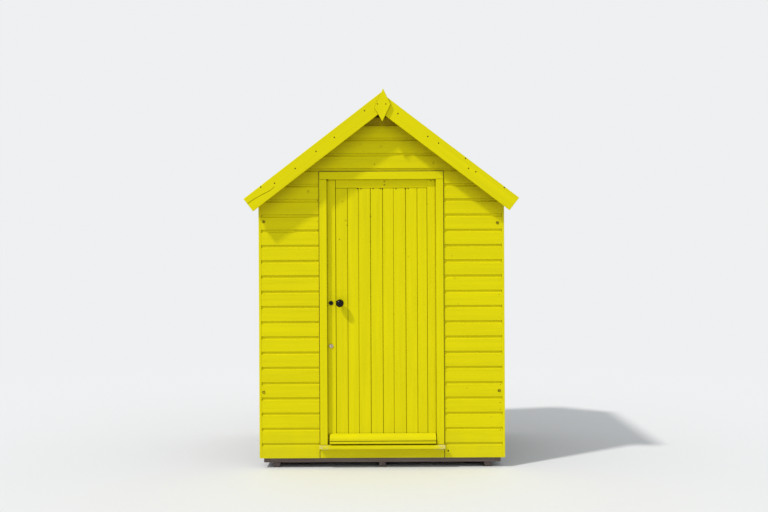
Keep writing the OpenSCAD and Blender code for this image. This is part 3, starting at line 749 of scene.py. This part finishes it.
def house_paint(name, grain, worn=0.3, reach=0.008, flaked_from=None):
    """Yellow paint. Dirt and painted shade reach this far out of a joint; it flakes beyond this
    far across.
    """
    material, skin, place = new_material(name)
    along, board = turned(place, grain), marked(material, "board")
    figure = used(wood_figure, {"Place": along, "Board": board})
    if flaked_from:
        across = worked_out("ABSOLUTE", coordinate(place, "X"))
        worn = ramp(across, flaked_from, flaked_from + 0.06, worn, 1.0)
    paint = used(paint_skin, {
        "Place": place, "Along": along, "Paint": YELLOW, "Board": board,
        "Rings": figure["Rings"], "Fibre": figure["Fibre"], "Knot": figure["Knot"],
        "Open": open_air(material, reach), "Arris": marked(material, "arris"), "Worn": worn})
    colour = paint["Color"]
    if flaked_from:
        flake = times(ramp(streaks(along, (45, 120, 120), 4, 0.6), 0.50, 0.58),
                      ramp(across, flaked_from, flaked_from + 0.09, 0.0, 0.85))
        colour = layered(colour, (flake, (0.62, 0.54, 0.44, 1)))
    feed(skin, {"Base Color": colour, "Roughness": paint["Roughness"],
                "Specular IOR Level": 0.07, "Normal": bumps(paint["Height"], 0.0006, 0.55)})
    return material


paint_look = {grain: house_paint("yellow paint " + grain, grain) for grain in GRAIN}
outside_look = {grain: weathered_timber(
    "weathered boards " + grain, grain, (0.092, 0.070, 0.032, 1), (0.170, 0.142, 0.078, 1),
    (0.100, 0.118, 0.030, 1), 0.7) for grain in ("across", "deep")}


def shiplap(name, length, courses):
    """A wall of shiplap boards facing -Y, with its face at y 0 and its foot on the ground."""
    tongue_y, tongue_top = 0.009, 0.1232
    rebate_y, rebate_top = 0.0085, 0.010
    scoop = [(0, 0.0888), (0.0046, 0.0903), (0.0076, 0.0935), (0.0088, 0.0983),
             (tongue_y, 0.104)]
    outline = [(0, 0)] + scoop + [
        (tongue_y, tongue_top), (BOARD_T, tongue_top), (BOARD_T, rebate_top),
        (rebate_y, rebate_top), (rebate_y, 0)]
    wall = moulding(name, [(-length / 2, y, z) for y, z in outline], Vector((length, 0, 0)))
    wall.data.materials.append(None)
    wall.data.materials.append(None)
    for face in wall.data.polygons:
        face.material_index = int(face.normal.y > 0.9)
    repeated(wall, courses, (0, 0, COVER))
    return wall


def stand(piece, turn, place):
    """Turns a piece about Z and sets it in its place, and makes that its mesh's own."""
    alone(piece)
    piece.rotation_euler = (0, 0, turn)
    piece.location = place
    bpy.ops.object.transform_apply(location=True, rotation=True)


def end_wall(name, turn, face_y):
    """The boards of an end wall, trimmed to the gable."""
    low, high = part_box("back_cladding")
    wall = shiplap(name, high.x - low.x, 24)
    stand(wall, turn, (0, face_y, BOARDS_FOOT))
    trim(wall, (0, 0, APEX_Z), SLOPE_RIGHT)
    trim(wall, (0, 0, APEX_Z), SLOPE_LEFT)
    return wall


def cut_out(piece, cutter):
    """Cuts the shape of a cutter out of a piece, and takes the cutter away."""
    alone(piece)
    cut = piece.modifiers.new("cut", "BOOLEAN")
    cut.object = cutter
    cut.solver = "EXACT"
    bpy.ops.object.modifier_apply(modifier=cut.name)
    bpy.data.objects.remove(cutter)


def wall_looks(piece, outside, inside, seed):
    """The two finishes of a boarded wall."""
    number_boards(piece, seed)
    piece.data.materials[0] = outside
    piece.data.materials[1] = inside


# The front's boards are cut out round the door's frame, from its head down to the ground,
# with a small gap at its sides and over it
DOORWAY_GAP, HEAD_GAP = 0.005, 0.0065
front_wall = end_wall("front_shiplap", 0, FRONT_Y)
low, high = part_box("door_head")
select_nothing()
bpy.ops.mesh.primitive_cube_add(size=1, location=(0, FRONT_Y, high.z / 2))
doorway = bpy.context.object
doorway.scale = (high.x - low.x + 2 * DOORWAY_GAP, 0.2, high.z + 2 * HEAD_GAP)
bpy.ops.object.transform_apply(scale=True)
cut_out(front_wall, doorway)
wall_looks(front_wall, house_paint("yellow paint boards", "across", reach=0.0055),
           inside_look["across"], 41)
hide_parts("front_cladding_left", "front_cladding_right",
            "front_cladding_gable")
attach(front_wall, "root")

back_wall = end_wall("back_shiplap", math.pi, BACK_Y)
wall_looks(back_wall, outside_look["across"], inside_look["across"], 42)
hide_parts("back_cladding")
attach(back_wall, "root")

for side, node_name, slope in ((1, "right_cladding", SLOPE_RIGHT),
                               (-1, "left_cladding", SLOPE_LEFT)):
    low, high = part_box(node_name)
    wall = shiplap(node_name.replace("cladding", "shiplap"), high.y - low.y, 18)
    stand(wall, side * math.pi / 2, (side * max(high.x, -low.x), 0, BOARDS_FOOT))
    trim(wall, (0, 0, APEX_Z), slope)
    wall_looks(wall, outside_look["deep"], inside_look["deep"], 43 + side)
    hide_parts(node_name)
    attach(wall, "root")


def nail_places(columns, courses, seed, lowest=0.024, highest=0.034):
    """Where each board is nailed to the studs behind it: across and up."""
    edge = 0.05
    draw = random.Random(seed)
    places = []
    for course in range(courses):
        for across in columns:
            up = BOARDS_FOOT + course * COVER + draw.uniform(lowest, highest)
            if up + abs(across) * math.tan(PITCH) < APEX_Z - edge:
                places.append((across + draw.uniform(-0.004, 0.004), up))
    return places


# The nails: painted over on the front, rusty elsewhere. Those of the front are driven by eye,
# and a few have lost their paint.
frame_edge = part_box("door_head")[1].x
boards_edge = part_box("front_studs")[1].x
columns = [-boards_edge + TIMBER / 2, -frame_edge - TIMBER / 2,
           frame_edge + TIMBER / 2, boards_edge - TIMBER / 2]
gable_nails = [(side * (APEX_Z - 0.033 - up) / math.tan(PITCH), up)
               for up in [BOARDS_FOOT + course * COVER + 0.03 for course in range(18, 23)]
               for side in (-1, 1)]
BARE_NAILS = [(0.477, 0.719), (0.477, 0.611), (0.477, 0.442), (0.8745, 1.288), (0.880, 0.618),
              (0.880, 0.484), (0.880, 0.432), (0.880, 0.279), (-0.474, 1.996),
              (-0.474, 1.835), (-0.474, 1.773)]
heads("front_board_nails",
      [(x, FRONT_Y, z) for x, z in nail_places(columns, 20, 45, 0.015, 0.078) + gable_nails],
      "front", paint_look["across"], "root")
heads("front_bare_nails", [(x, FRONT_Y, z) for x, z in BARE_NAILS],
      "front", rusty, "root", radius=0.0028)
heads("front_low_nail", [(0.4915, FRONT_Y, 0.1255)], "front", rusty, "root",
      radius=0.0062, rise=0.0008)
heads("back_board_nails",
      [(x, BACK_Y, z)
       for x, z in nail_places(rows_of("back_studs", 0, 4) + [0], 24, 46) + gable_nails],
      "back", rusty, "root")
for side, word in ((1, "right"), (-1, "left")):
    heads(word + "_board_nails",
          [(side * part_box("right_cladding")[1].x, y, z)
           for y, z in nail_places(rows_of("side_studs", 1, 4), 18, 47) if z < 1.99],
          word, rusty, "root")

# Four bolts at each end hold the end walls to the side walls. Those of the front have been
# painted over, and are dirty, most of all on the right.
bolt_paint, skin, place = new_material("painted bolt")
dirty = minus(noise(place, 110.0, 4, 0.65), ramp(coordinate(place, "X"), -0.5, 0.5, 0.07, 0.0))
colour = layered((0.46, 0.39, 0.004, 1), (ramp(dirty, 0.36, 0.60), (0.085, 0.055, 0.006, 1)))
feed(skin, {"Base Color": colour, "Roughness": ramp(dirty, 0.3, 0.7, 0.5, 0.85),
            "Specular IOR Level": 0.1, "Normal": bumps(dirty, 0.0003, 0.5)})
WASHER_T = 0.0016
for end, face_y, outward, look, bolts in (
        ("front", FRONT_Y, -1, bolt_paint,
         ((-0.877, 1.838), (0.866, 1.823), (-0.882, 0.568), (0.873, 0.573))),
        ("back", BACK_Y, 1, rusty,
         ((-0.875, 1.83), (0.875, 1.83), (-0.875, 0.57), (0.875, 0.57)))):
    heads(end + "_bolt_washers", [(x, face_y, z) for x, z in bolts], end, look,
          "root", radius=0.012, rise=WASHER_T, sides=20, chamfer=0.08)
    heads(end + "_bolt_heads", [(x, face_y + outward * WASHER_T, z) for x, z in bolts], end,
          look, "root", radius=0.0075, rise=0.005, sides=6, chamfer=0.14)

# Corner strips and apron board
# Planed strips cover the ends of the boards at the four corners, and a plain board closes
# the front under the sill. All are painted softwood, nailed on.
for node_name, name, grain in (("corner_strips", "corner_strips_planed", "upright"),
                               ("apron_board", "apron", "across")):
    piece = timber_from(node_name, name, arris=0.0018, steps=2, seed=51)
    piece.data.materials.append(paint_look[grain])
    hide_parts(node_name)
    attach(piece, "root")

strip_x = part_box("corner_strips")[1].x
for side, word in ((1, "right"), (-1, "left")):
    heads(word + "_strip_nails",
          [(side * strip_x, end * 0.790, 0.20 + 0.36 * i) for end in (-1, 1) for i in range(6)],
          word, paint_look["upright"], "root")
low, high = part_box("apron_board")
heads("apron_nails", [(x, low.y, (low.z + high.z) / 2) for x in (-0.44, -0.15, 0.15, 0.44)],
      "front", paint_look["across"], "root")

# Ridge beam, purlins and verge battens
# The beam butts against the king posts, the purlins against the rafters, and a batten
# behind each bargeboard carries it. Bare softwood, planed.
for node_name in ("ridge_beam", "purlins"):
    piece = timber_from(node_name, node_name + "_planed", seed=61)
    piece.data.materials.append(inside_look["deep"])
    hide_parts(node_name)
    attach(piece, "root")

piece = timber_from("verge_battens", "verge_battens_planed", seed=62)
slope_looks(piece)
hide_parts("verge_battens")
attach(piece, "root")

# Roof boards
# Planed 12 mm boards of several widths, laid from verge to verge on the purlins, with a
# small V at each joint underneath. Bare softwood.
ROOF_APEX = APEX_Z + 0.00005
ROOF_T = 0.012
ROOF_END = 1.2403  # how far down the slope the boards reach
ROOF_JOINTS = [0.195, 0.335, 0.474, 0.624, 0.787, 0.926, 1.060]
ROOF_GAP, ROOF_VEE = 0.0004, 0.0025
roof_low, roof_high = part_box("roof_boards_right")


def on_slope(side, down, over, y):
    """The place this far down a roof slope and over its underside."""
    return (side * (down * math.cos(PITCH) + over * math.sin(PITCH)), y,
            ROOF_APEX - down * math.sin(PITCH) + over * math.cos(PITCH))


def verge_to_verge(name, side, outline):
    """A bar along the roof, from an outline of places down the slope and over its underside."""
    return moulding(name, [on_slope(side, down, over, roof_low.y) for down, over in outline],
                    Vector((0, roof_high.y - roof_low.y, 0)))


def roof_board_outline(start, stop):
    """A board's outline, mitred at the ridge, square at the eaves and eased at a joint."""
    if start == 0.0:
        outline = [(0, 0), (-ROOF_T * math.tan(PITCH), ROOF_T)]
    else:
        outline = [(start + ROOF_GAP + ROOF_VEE, 0), (start + ROOF_GAP, ROOF_VEE),
                   (start + ROOF_GAP, ROOF_T)]
    if stop == ROOF_END:
        return outline + [(stop, ROOF_T), (stop, 0)]
    return outline + [(stop - ROOF_GAP, ROOF_T), (stop - ROOF_GAP, ROOF_VEE),
                      (stop - ROOF_GAP - ROOF_VEE, 0)]


edges = [0.0] + ROOF_JOINTS + [ROOF_END]
for side, node_name in ((1, "roof_boards_right"), (-1, "roof_boards_left")):
    piece = joined(node_name.replace("boards", "boards_laid"), [
        verge_to_verge("board", side, roof_board_outline(start, stop))
        for start, stop in zip(edges, edges[1:])])
    number_boards(piece, 71 + side)
    piece.data.materials.append(inside_look["deep"])
    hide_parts(node_name)
    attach(piece, "root")

# Roofing felt
# Pale grey-green mineral felt, nailed down over the boards and turned down at the eaves.
# It has sunk a little into each joint between the boards, where dirt and moss collect.
FELT_UNDER, FELT_TOP = 0.012, 0.015
FELT_EDGE = ROOF_END + 0.003  # its outer face where it is turned down
SEAM_REACH = 0.009  # how far from a joint a face still counts as part of its hollow
DIPS = ((-0.011, 0.0), (-0.005, 0.0011), (0.0, 0.0017), (0.005, 0.0011), (0.011, 0.0))

felt_look, skin, place = new_material("mineral felt")
grit = noise(place, 900.0, 2, 0.6)
cloud = noise(stretched(place, (1, 2.4, 1)), 2.6, 4, 0.6)
run_off = streaks(place, (1.2, 22, 1.2), 4, 0.6)
moss = ramp(noise(place, 21.0, 4, 0.65), 0.38, 0.6)
colour = layered(
    (0.28, 0.36, 0.31, 1),
    (ramp(grit, 0.35, 0.65), (0.42, 0.51, 0.45, 1)),
    (ramp(cloud, 0.4, 0.72, 0.0, 0.45), (0.40, 0.42, 0.33, 1)),
    (ramp(run_off, 0.5, 0.75, 0.0, 0.3), (0.27, 0.29, 0.22, 1)),
    (times(marked(felt_look, "seam"), plus(0.16, times(moss, 0.20))), (0.16, 0.18, 0.11, 1)))
feed(skin, {"Base Color": colour, "Roughness": 0.95, "Specular IOR Level": 0.2,
            "Normal": bumps(plus(grit, times(cloud, 2.0)), 0.0008, 0.7)})

for side, node_name in ((1, "roof_felt_right"), (-1, "roof_felt_left")):
    top_line = [(joint + down, FELT_TOP - dip) for joint in ROOF_JOINTS for down, dip in DIPS]
    outline = [(-FELT_UNDER * math.tan(PITCH), FELT_UNDER),
               (-FELT_TOP * math.tan(PITCH), FELT_TOP)] + top_line + [
        (ROOF_END + 0.0005, FELT_TOP), (ROOF_END + 0.0026, FELT_TOP - 0.0012),
        (FELT_EDGE, FELT_TOP - 0.003), (FELT_EDGE, -0.012),
        (ROOF_END, -0.012), (ROOF_END, FELT_UNDER)]
    felt = verge_to_verge(node_name.replace("felt", "felt_laid"), side, outline)
    mark = felt.data.attributes.new("seam", "FLOAT", "FACE")
    for face in felt.data.polygons:
        down = side * face.center.x * math.cos(PITCH) - (
            face.center.z - ROOF_APEX) * math.sin(PITCH)
        mark.data[face.index].value = float(abs(face.normal.y) < 0.5 and any(
            abs(down - joint) < SEAM_REACH for joint in ROOF_JOINTS))
    alone(felt)
    bpy.ops.object.shade_smooth_by_angle(angle=math.radians(40))
    felt.data.materials.append(felt_look)
    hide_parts(node_name)
    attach(felt, "root")

# Galvanised clout nails hold the felt's turned-down edge and its edges at the verges
zinc, skin, place = new_material("dull zinc")
bloom = noise(place, 60.0, 4, 0.6)
rust = ramp(noise(place, 140.0, 4, 0.7), 0.6, 0.68)
colour = layered(
    (0.42, 0.42, 0.41, 1),
    (ramp(bloom, 0.35, 0.7), (0.27, 0.26, 0.25, 1)),
    (times(rust, 0.8), (0.17, 0.065, 0.025, 1)))
feed(skin, {"Base Color": colour, "Metallic": ramp(rust, 0.0, 1.0, 0.9, 0.1),
            "Roughness": ramp(bloom, 0.3, 0.7, 0.38, 0.6),
            "Normal": bumps(plus(bloom, rust), 0.0002, 0.5)})
CLOUTS = 22
END_CLOUT = 0.05  # how far the first and the last are from the felt's ends
clouts_run = roof_high.y - roof_low.y - 2 * END_CLOUT
for side, word in ((1, "right"), (-1, "left")):
    heads(word + "_eaves_clouts",
          [on_slope(side, FELT_EDGE, -0.002,
                    roof_low.y + END_CLOUT + i * clouts_run / (CLOUTS - 1))
           for i in range(CLOUTS)],
          word + "_eaves", zinc, "root", radius=0.005, rise=0.0012)
    heads(word + "_verge_clouts",
          [on_slope(side, 0.22 + i * 0.1, FELT_TOP, y) for i in range(11)
           for y in (roof_low.y + 0.018, roof_high.y - 0.018)],
          word + "_slope", zinc, "root", radius=0.005, rise=0.0012)

# Ridge caps, bargeboards and finial
# Two boards cover the ridge, a board with a mitre at its top is nailed over each verge, and
# a hand-cut diamond hides the front mitre. Painted softwood.
CRACK = ((-1.010, 1.9451), (-0.972, 1.9712), (-0.9285, 2.0008), (-0.8675, 2.0346),
         (-0.818, 2.0592), (-0.7875, 2.0843), (-0.7784, 2.0948), (-0.7885, 2.0872),
         (-0.819, 2.0636), (-0.8675, 2.0400), (-0.9285, 2.0068), (-0.972, 1.9766),
         (-1.010, 1.9505))
for node_name, grain in (("ridge_cap_right", "deep"), ("ridge_cap_left", "deep"),
                         ("bargeboard_front_right", "right_slope"),
                         ("bargeboard_front_left", "left_slope"),
                         ("bargeboard_back_right", "right_slope"),
                         ("bargeboard_back_left", "left_slope"), ("finial", "upright")):
    piece = timber_from(node_name, node_name + "_planed", arris=0.0028, steps=2,
                        seed=80 + len(node_name))
    if node_name == "bargeboard_front_left":
        # A drying crack runs in from the board's lower end, at a slight slant to its grain
        start_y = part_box(node_name)[0].y - 0.001
        cut_out(piece, moulding("crack", [(x, start_y, z) for x, z in CRACK],
                                Vector((0, 0.0036, 0))))
    piece.data.materials.append(paint_look[grain])
    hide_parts(node_name)
    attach(piece, "root")

# Nails, listed one by one (down the slope, over its underside): bare and rusty in front
CAP_TOP = 0.031
for side, word, nailed in (
        (-1, "left", ((0.155, -0.005), (0.450, -0.024), (0.619, -0.023), (0.817, -0.029),
                      (1.003, -0.021), (1.100, 0.018))),
        (1, "right", ((0.173, -0.020), (0.449, -0.021), (0.541, -0.012), (0.766, 0.019),
                      (0.828, -0.026), (0.886, -0.014), (1.123, 0.021)))):
    front_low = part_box("bargeboard_front_" + word)[0]
    back_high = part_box("bargeboard_back_" + word)[1]
    heads(word + "_barge_nails",
          [on_slope(side, down, over, front_low.y) for down, over in nailed],
          "front", rusty, "root", radius=0.0052, rise=0.0008)
    heads(word + "_back_barge_nails",
          [on_slope(side, down, over, back_high.y) for down in (0.14, 0.42, 0.70, 0.98, 1.18)
           for over in (-0.05, -0.01)],
          "back", rusty, "root", radius=0.0035, rise=0.0006)
    heads(word + "_cap_nails",
          [on_slope(side, 0.075, CAP_TOP, -0.82 + 0.20 * i) for i in range(9)],
          word + "_slope", paint_look["deep"], "root", radius=0.0035)
finial_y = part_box("finial")[0].y
heads("finial_nails", [(-0.026, finial_y, 2.692), (0.036, finial_y, 2.691)],
      "front", rusty, "root", radius=0.0045, rise=0.0008)

# Sill, jambs and head
# The door's frame is planed softwood, rebated for the door and painted. The sill is
# weathered and has a drip under its nose.
sill_look = house_paint("yellow paint sill", "across", 0.6, 0.003, flaked_from=0.37)


def pull(piece, low, high, by):
    """Moves the corners of a piece that lie between two corners of a box."""
    alone(piece)
    bpy.ops.object.mode_set(mode="EDIT")
    bpy.ops.mesh.select_mode(type="VERT")
    bpy.ops.mesh.select_all(action="DESELECT")
    shape = bmesh.from_edit_mesh(piece.data)
    for corner in shape.verts:
        corner.select = all(a <= c <= b for a, c, b in zip(low, corner.co, high))
    shape.select_flush_mode()
    bmesh.update_edit_mesh(piece.data)
    bpy.ops.transform.translate(value=by)
    bpy.ops.object.mode_set(mode="OBJECT")


for node_name, look in (("door_sill", sill_look), ("door_jamb_left", paint_look["upright"]),
                        ("door_jamb_right", paint_look["upright"]),
                        ("door_head", paint_look["across"])):
    piece = timber_from(node_name, node_name + "_planed", arris=0.0018, steps=2, seed=91)
    if "jamb" in node_name:
        # The jambs have shrunk a little away from the sill and the head
        pull(piece, (-1, -1, 0.0), (1, 0, 0.21), (0, 0, 0.0014))
        pull(piece, (-1, -1, 2.14), (1, FRONT_Y, 2.16), (0, 0, -0.0012))
    piece.data.materials.append(look)
    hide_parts(node_name)
    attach(piece, "root")
jamb_y, head_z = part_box("door_head")[0].y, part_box("door_head")[1].z
heads("jamb_nails",
      [(side * 0.447, jamb_y, 0.30 + 0.42 * i) for side in (-1, 1) for i in range(5)],
      "front", paint_look["upright"], "root")
heads("head_nails", [(x, jamb_y, head_z - 0.02) for x in (-0.40, -0.13, 0.13, 0.40)],
      "front", paint_look["across"], "root")

# Door: stiles, rails and braces
# A framed, ledged and braced door: two stiles and a top rail of the full thickness, and a
# lock rail, a bottom rail and two braces behind the boards. Painted softwood.
# Dirt and painted shade reach further out of the door's joints, and furthest on its stiles, beside
# the jambs
door_look = {grain: house_paint("yellow paint door " + grain, grain, reach=0.012)
             for grain in ("upright", "across")}
stile_look = house_paint("yellow paint stiles", "upright", reach=0.02)
for node_name, look in (("door_stiles", stile_look), ("door_rails", door_look["across"]),
                        ("door_weatherboard", door_look["across"])):
    piece = timber_from(node_name, node_name + "_planed", arris=0.0018, steps=2, seed=101)
    if node_name == "door_rails":
        # The top rail's shoulders stand a little open
        pull(piece, (-0.36, -1, 2.08), (-0.32, 0, 2.17), (0.0034, 0, 0))
        pull(piece, (0.32, -1, 2.08), (0.36, 0, 2.17), (-0.0008, 0, 0))
    elif node_name == "door_weatherboard":
        # Its foot is thin with wear, and the groove over it is worn wide
        foot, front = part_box(node_name)[0].z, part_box(node_name)[0].y
        pull(piece, (-1, -1, foot - 0.001), (1, 0, foot + 0.0025), (0, 0, -0.005))
        pull(piece, (-1, front + 0.002, foot + 0.011), (1, front + 0.006, foot + 0.019),
             (0, 0.006, 0))
    piece.data.materials.append(look)
    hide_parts(node_name)
    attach(piece, "door")

piece = timber_from("door_braces", "door_braces_planed", arris=0.0018, steps=2, seed=102)
piece.data.materials.append(door_look["upright"])
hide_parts("door_braces")
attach(piece, "door")

# Door boards
# Eight upright tongued boards, 14 mm thick, with a V at each joint on both faces. They
# stand behind the top rail and run over the two lower rails. Painted softwood.
DOOR_VEE = 0.003
DOOR_TOP_GAP = 0.0026
low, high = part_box("door_boards")
DOOR_JOINTS = [(low.x, 0.0018), (-0.252, 0.0011), (-0.170, 0.0004), (-0.0805, 0.0015),
               (0.010, 0.0014), (0.0912, 0.0004), (0.182, 0.0014), (0.268, 0.0008),
               (high.x, 0.0008)]  # each joint's place and half its gap
boards = []
for i, ((left, gap), (right, next_gap)) in enumerate(zip(DOOR_JOINTS, DOOR_JOINTS[1:])):
    left, right = left + gap, right - next_gap
    face, back = low.y, high.y
    outline = [(left + DOOR_VEE, face), (right - DOOR_VEE, face), (right, face + DOOR_VEE)]
    if i < len(DOOR_JOINTS) - 2:
        outline += tongue(right, face + 0.0054, face + 0.0086, 0.004)
    outline += [(right, back - DOOR_VEE), (right - DOOR_VEE, back), (left + DOOR_VEE, back),
                (left, back - DOOR_VEE)]
    if i > 0:
        outline += tongue(left, face + 0.009, face + 0.005, 0.005)
    outline += [(left, face + DOOR_VEE)]
    boards.append(moulding("board", [(x, y, low.z) for x, y in outline],
                           Vector((0, 0, high.z - DOOR_TOP_GAP - low.z))))
door_boards = joined("door_matched_boards", boards)
number_boards(door_boards, 111)
door_boards.data.materials.append(door_look["upright"])
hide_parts("door_boards")
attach(door_boards, "door")

middles = [(left + right) / 2 for (left, _), (right, _) in zip(DOOR_JOINTS, DOOR_JOINTS[1:])]
heads("door_board_nails",
      [(middle + off, low.y, z) for middle in middles
       for z, off in ((1.185, -0.02), (1.275, 0.02), (0.29, -0.02), (0.335, 0.02))],
      "front", paint_look["upright"], "door", radius=0.0022, rise=0.0005)
heads("door_top_nails",
      [(x, low.y, 2.0815) for x in (-0.177, -0.150, -0.060, -0.007, 0.008, 0.111, 0.180, 0.202)],
      "front", rusty, "door", radius=0.0044, rise=0.0008)

# Hinges
# Three 100 mm steel butt hinges on pins, zinc plated and dull. Four countersunk screws,
# nearly flush, hold each plate in the edge of the door or the jamb.
HINGE_MIDDLES = (0.432, 1.210, 1.988)
SCREW_PLACES = ((0.024, -0.038), (0.010, -0.020), (0.010, 0.020), (0.024, 0.038))
for node_name, body in (("door_hinge_plates", "door"), ("frame_hinge_plates", "root")):
    piece = timber_from(node_name, node_name + "_filed", arris=0.0004, seed=121)
    piece.data.materials.append(zinc)
    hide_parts(node_name)
    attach(piece, body)
plate_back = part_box("door_stiles")[1].y
for facing, plate_x, body in (("right", 0.4215, "door"), ("left", 0.4235, "root")):
    heads(body + "_hinge_screws",
          [(plate_x, plate_back - back, middle + up)
           for middle in HINGE_MIDDLES for back, up in SCREW_PLACES],
          facing, zinc, body, radius=0.004, rise=0.0003, sides=12,
          chamfer=0.1, slotted=True)

# Locks, keeps, rose, keyhole plate and knob
# Cast and pressed iron, stove-enamelled black: a rim lock and a night latch inside, and the
# knob with its rose outside. The cylinder's ring is bare metal.
KNOB_X, KEY_X, KNOB_Z, CYLINDER_Z = -0.311, -0.378, 1.229, 0.908
ROSE_OUT, KEY_PLATE_OUT = 0.004, 0.006  # how far they stand in front of the door boards
TURN_RISE = 0.014  # how far the latch's turn stands out of its case
KEYWAY = ((-0.0011, -0.0048), (0.0011, -0.0048), (0.0011, -0.0012), (0.0019, -0.0004),
          (0.0019, 0.0010), (0.0011, 0.0018), (0.0011, 0.0048), (-0.0011, 0.0048),
          (-0.0011, 0.0016), (-0.0003, 0.0008), (-0.0003, -0.0002), (-0.0011, -0.0010))

enamel, skin, place = new_material("black enamel")
cast = noise(place, 220.0, 3, 0.5)
scuff = ramp(streaks(place, (90, 90, 14), 4, 0.7), 0.62, 0.75)
scuff = larger(times(scuff, 0.25),
               times(marked(enamel, "arris"), ramp(cast, 0.5, 0.6, 0.0, 0.7)))
feed(skin, {"Base Color": layered((0.004, 0.004, 0.006, 1), (scuff, (0.07, 0.06, 0.05, 1))),
            "Roughness": plus(0.14, times(scuff, 0.5)), "Specular IOR Level": 0.16,
            "Normal": bumps(cast, 0.0002, 0.4)})

bright, skin, place = new_material("worn cylinder metal")
tarnish = ramp(noise(place, 90.0, 4, 0.6), 0.35, 0.7)
feed(skin, {"Base Color": layered((0.62, 0.54, 0.40, 1), (tarnish, (0.40, 0.33, 0.22, 1))),
            "Metallic": 1.0, "Roughness": ramp(tarnish, 0.0, 1.0, 0.35, 0.6),
            "Normal": bumps(tarnish, 0.0002, 0.3)})

ring_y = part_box("lock_plates")[0].y
for node_name, name, body, arris in (
        ("lock_cases", "lock_cases_cast", "door", 0.002),
        ("lock_keeps", "lock_keeps_cast", "root", 0.0008),
        ("lock_plates", "lock_plates_pressed", "door", 0.0006),
        ("door_knob", "door_knob_turned", "knob", 0.0008)):
    piece = timber_from(node_name, name, arris=arris, steps=2, seed=131)
    piece.data.materials.append(enamel)
    if node_name == "lock_plates":
        piece.data.materials.append(bright)
        for face in piece.data.polygons:
            face.material_index = int(face.center.z < 1.0)
        # The keyway is cut into the cylinder's plug
        cut_out(piece, moulding("keyway", [
            (KEY_X + x, ring_y - 0.001, CYLINDER_Z + z) for x, z in KEYWAY],
                                Vector((0, 0.0055, 0))))
    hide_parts(node_name)
    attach(piece, body)

# Slotted screws: two in the rose, two in the keyhole plate, and four in each case inside
face_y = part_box("door_boards")[0].y
case_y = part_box("lock_cases")[1].y - TURN_RISE
heads("plate_screws",
      [(KNOB_X, face_y - ROSE_OUT, KNOB_Z + up) for up in (-0.0168, 0.0168)] +
      [(KEY_X, face_y - KEY_PLATE_OUT, KNOB_Z + up) for up in (-0.0125, 0.0125)],
      "front", enamel, "door", radius=0.0028, rise=0.001, sides=12,
      chamfer=0.25, slotted=True)
heads("case_screws",
      [(x, case_y, KNOB_Z + up) for x in (-0.410, -0.277) for up in (-0.042, 0.042)] +
      [(x, case_y, CYLINDER_Z + up) for x in (-0.410, -0.351) for up in (-0.024, 0.024)],
      "back", zinc, "door", radius=0.0042, rise=0.0015, sides=12,
      chamfer=0.2, slotted=True)
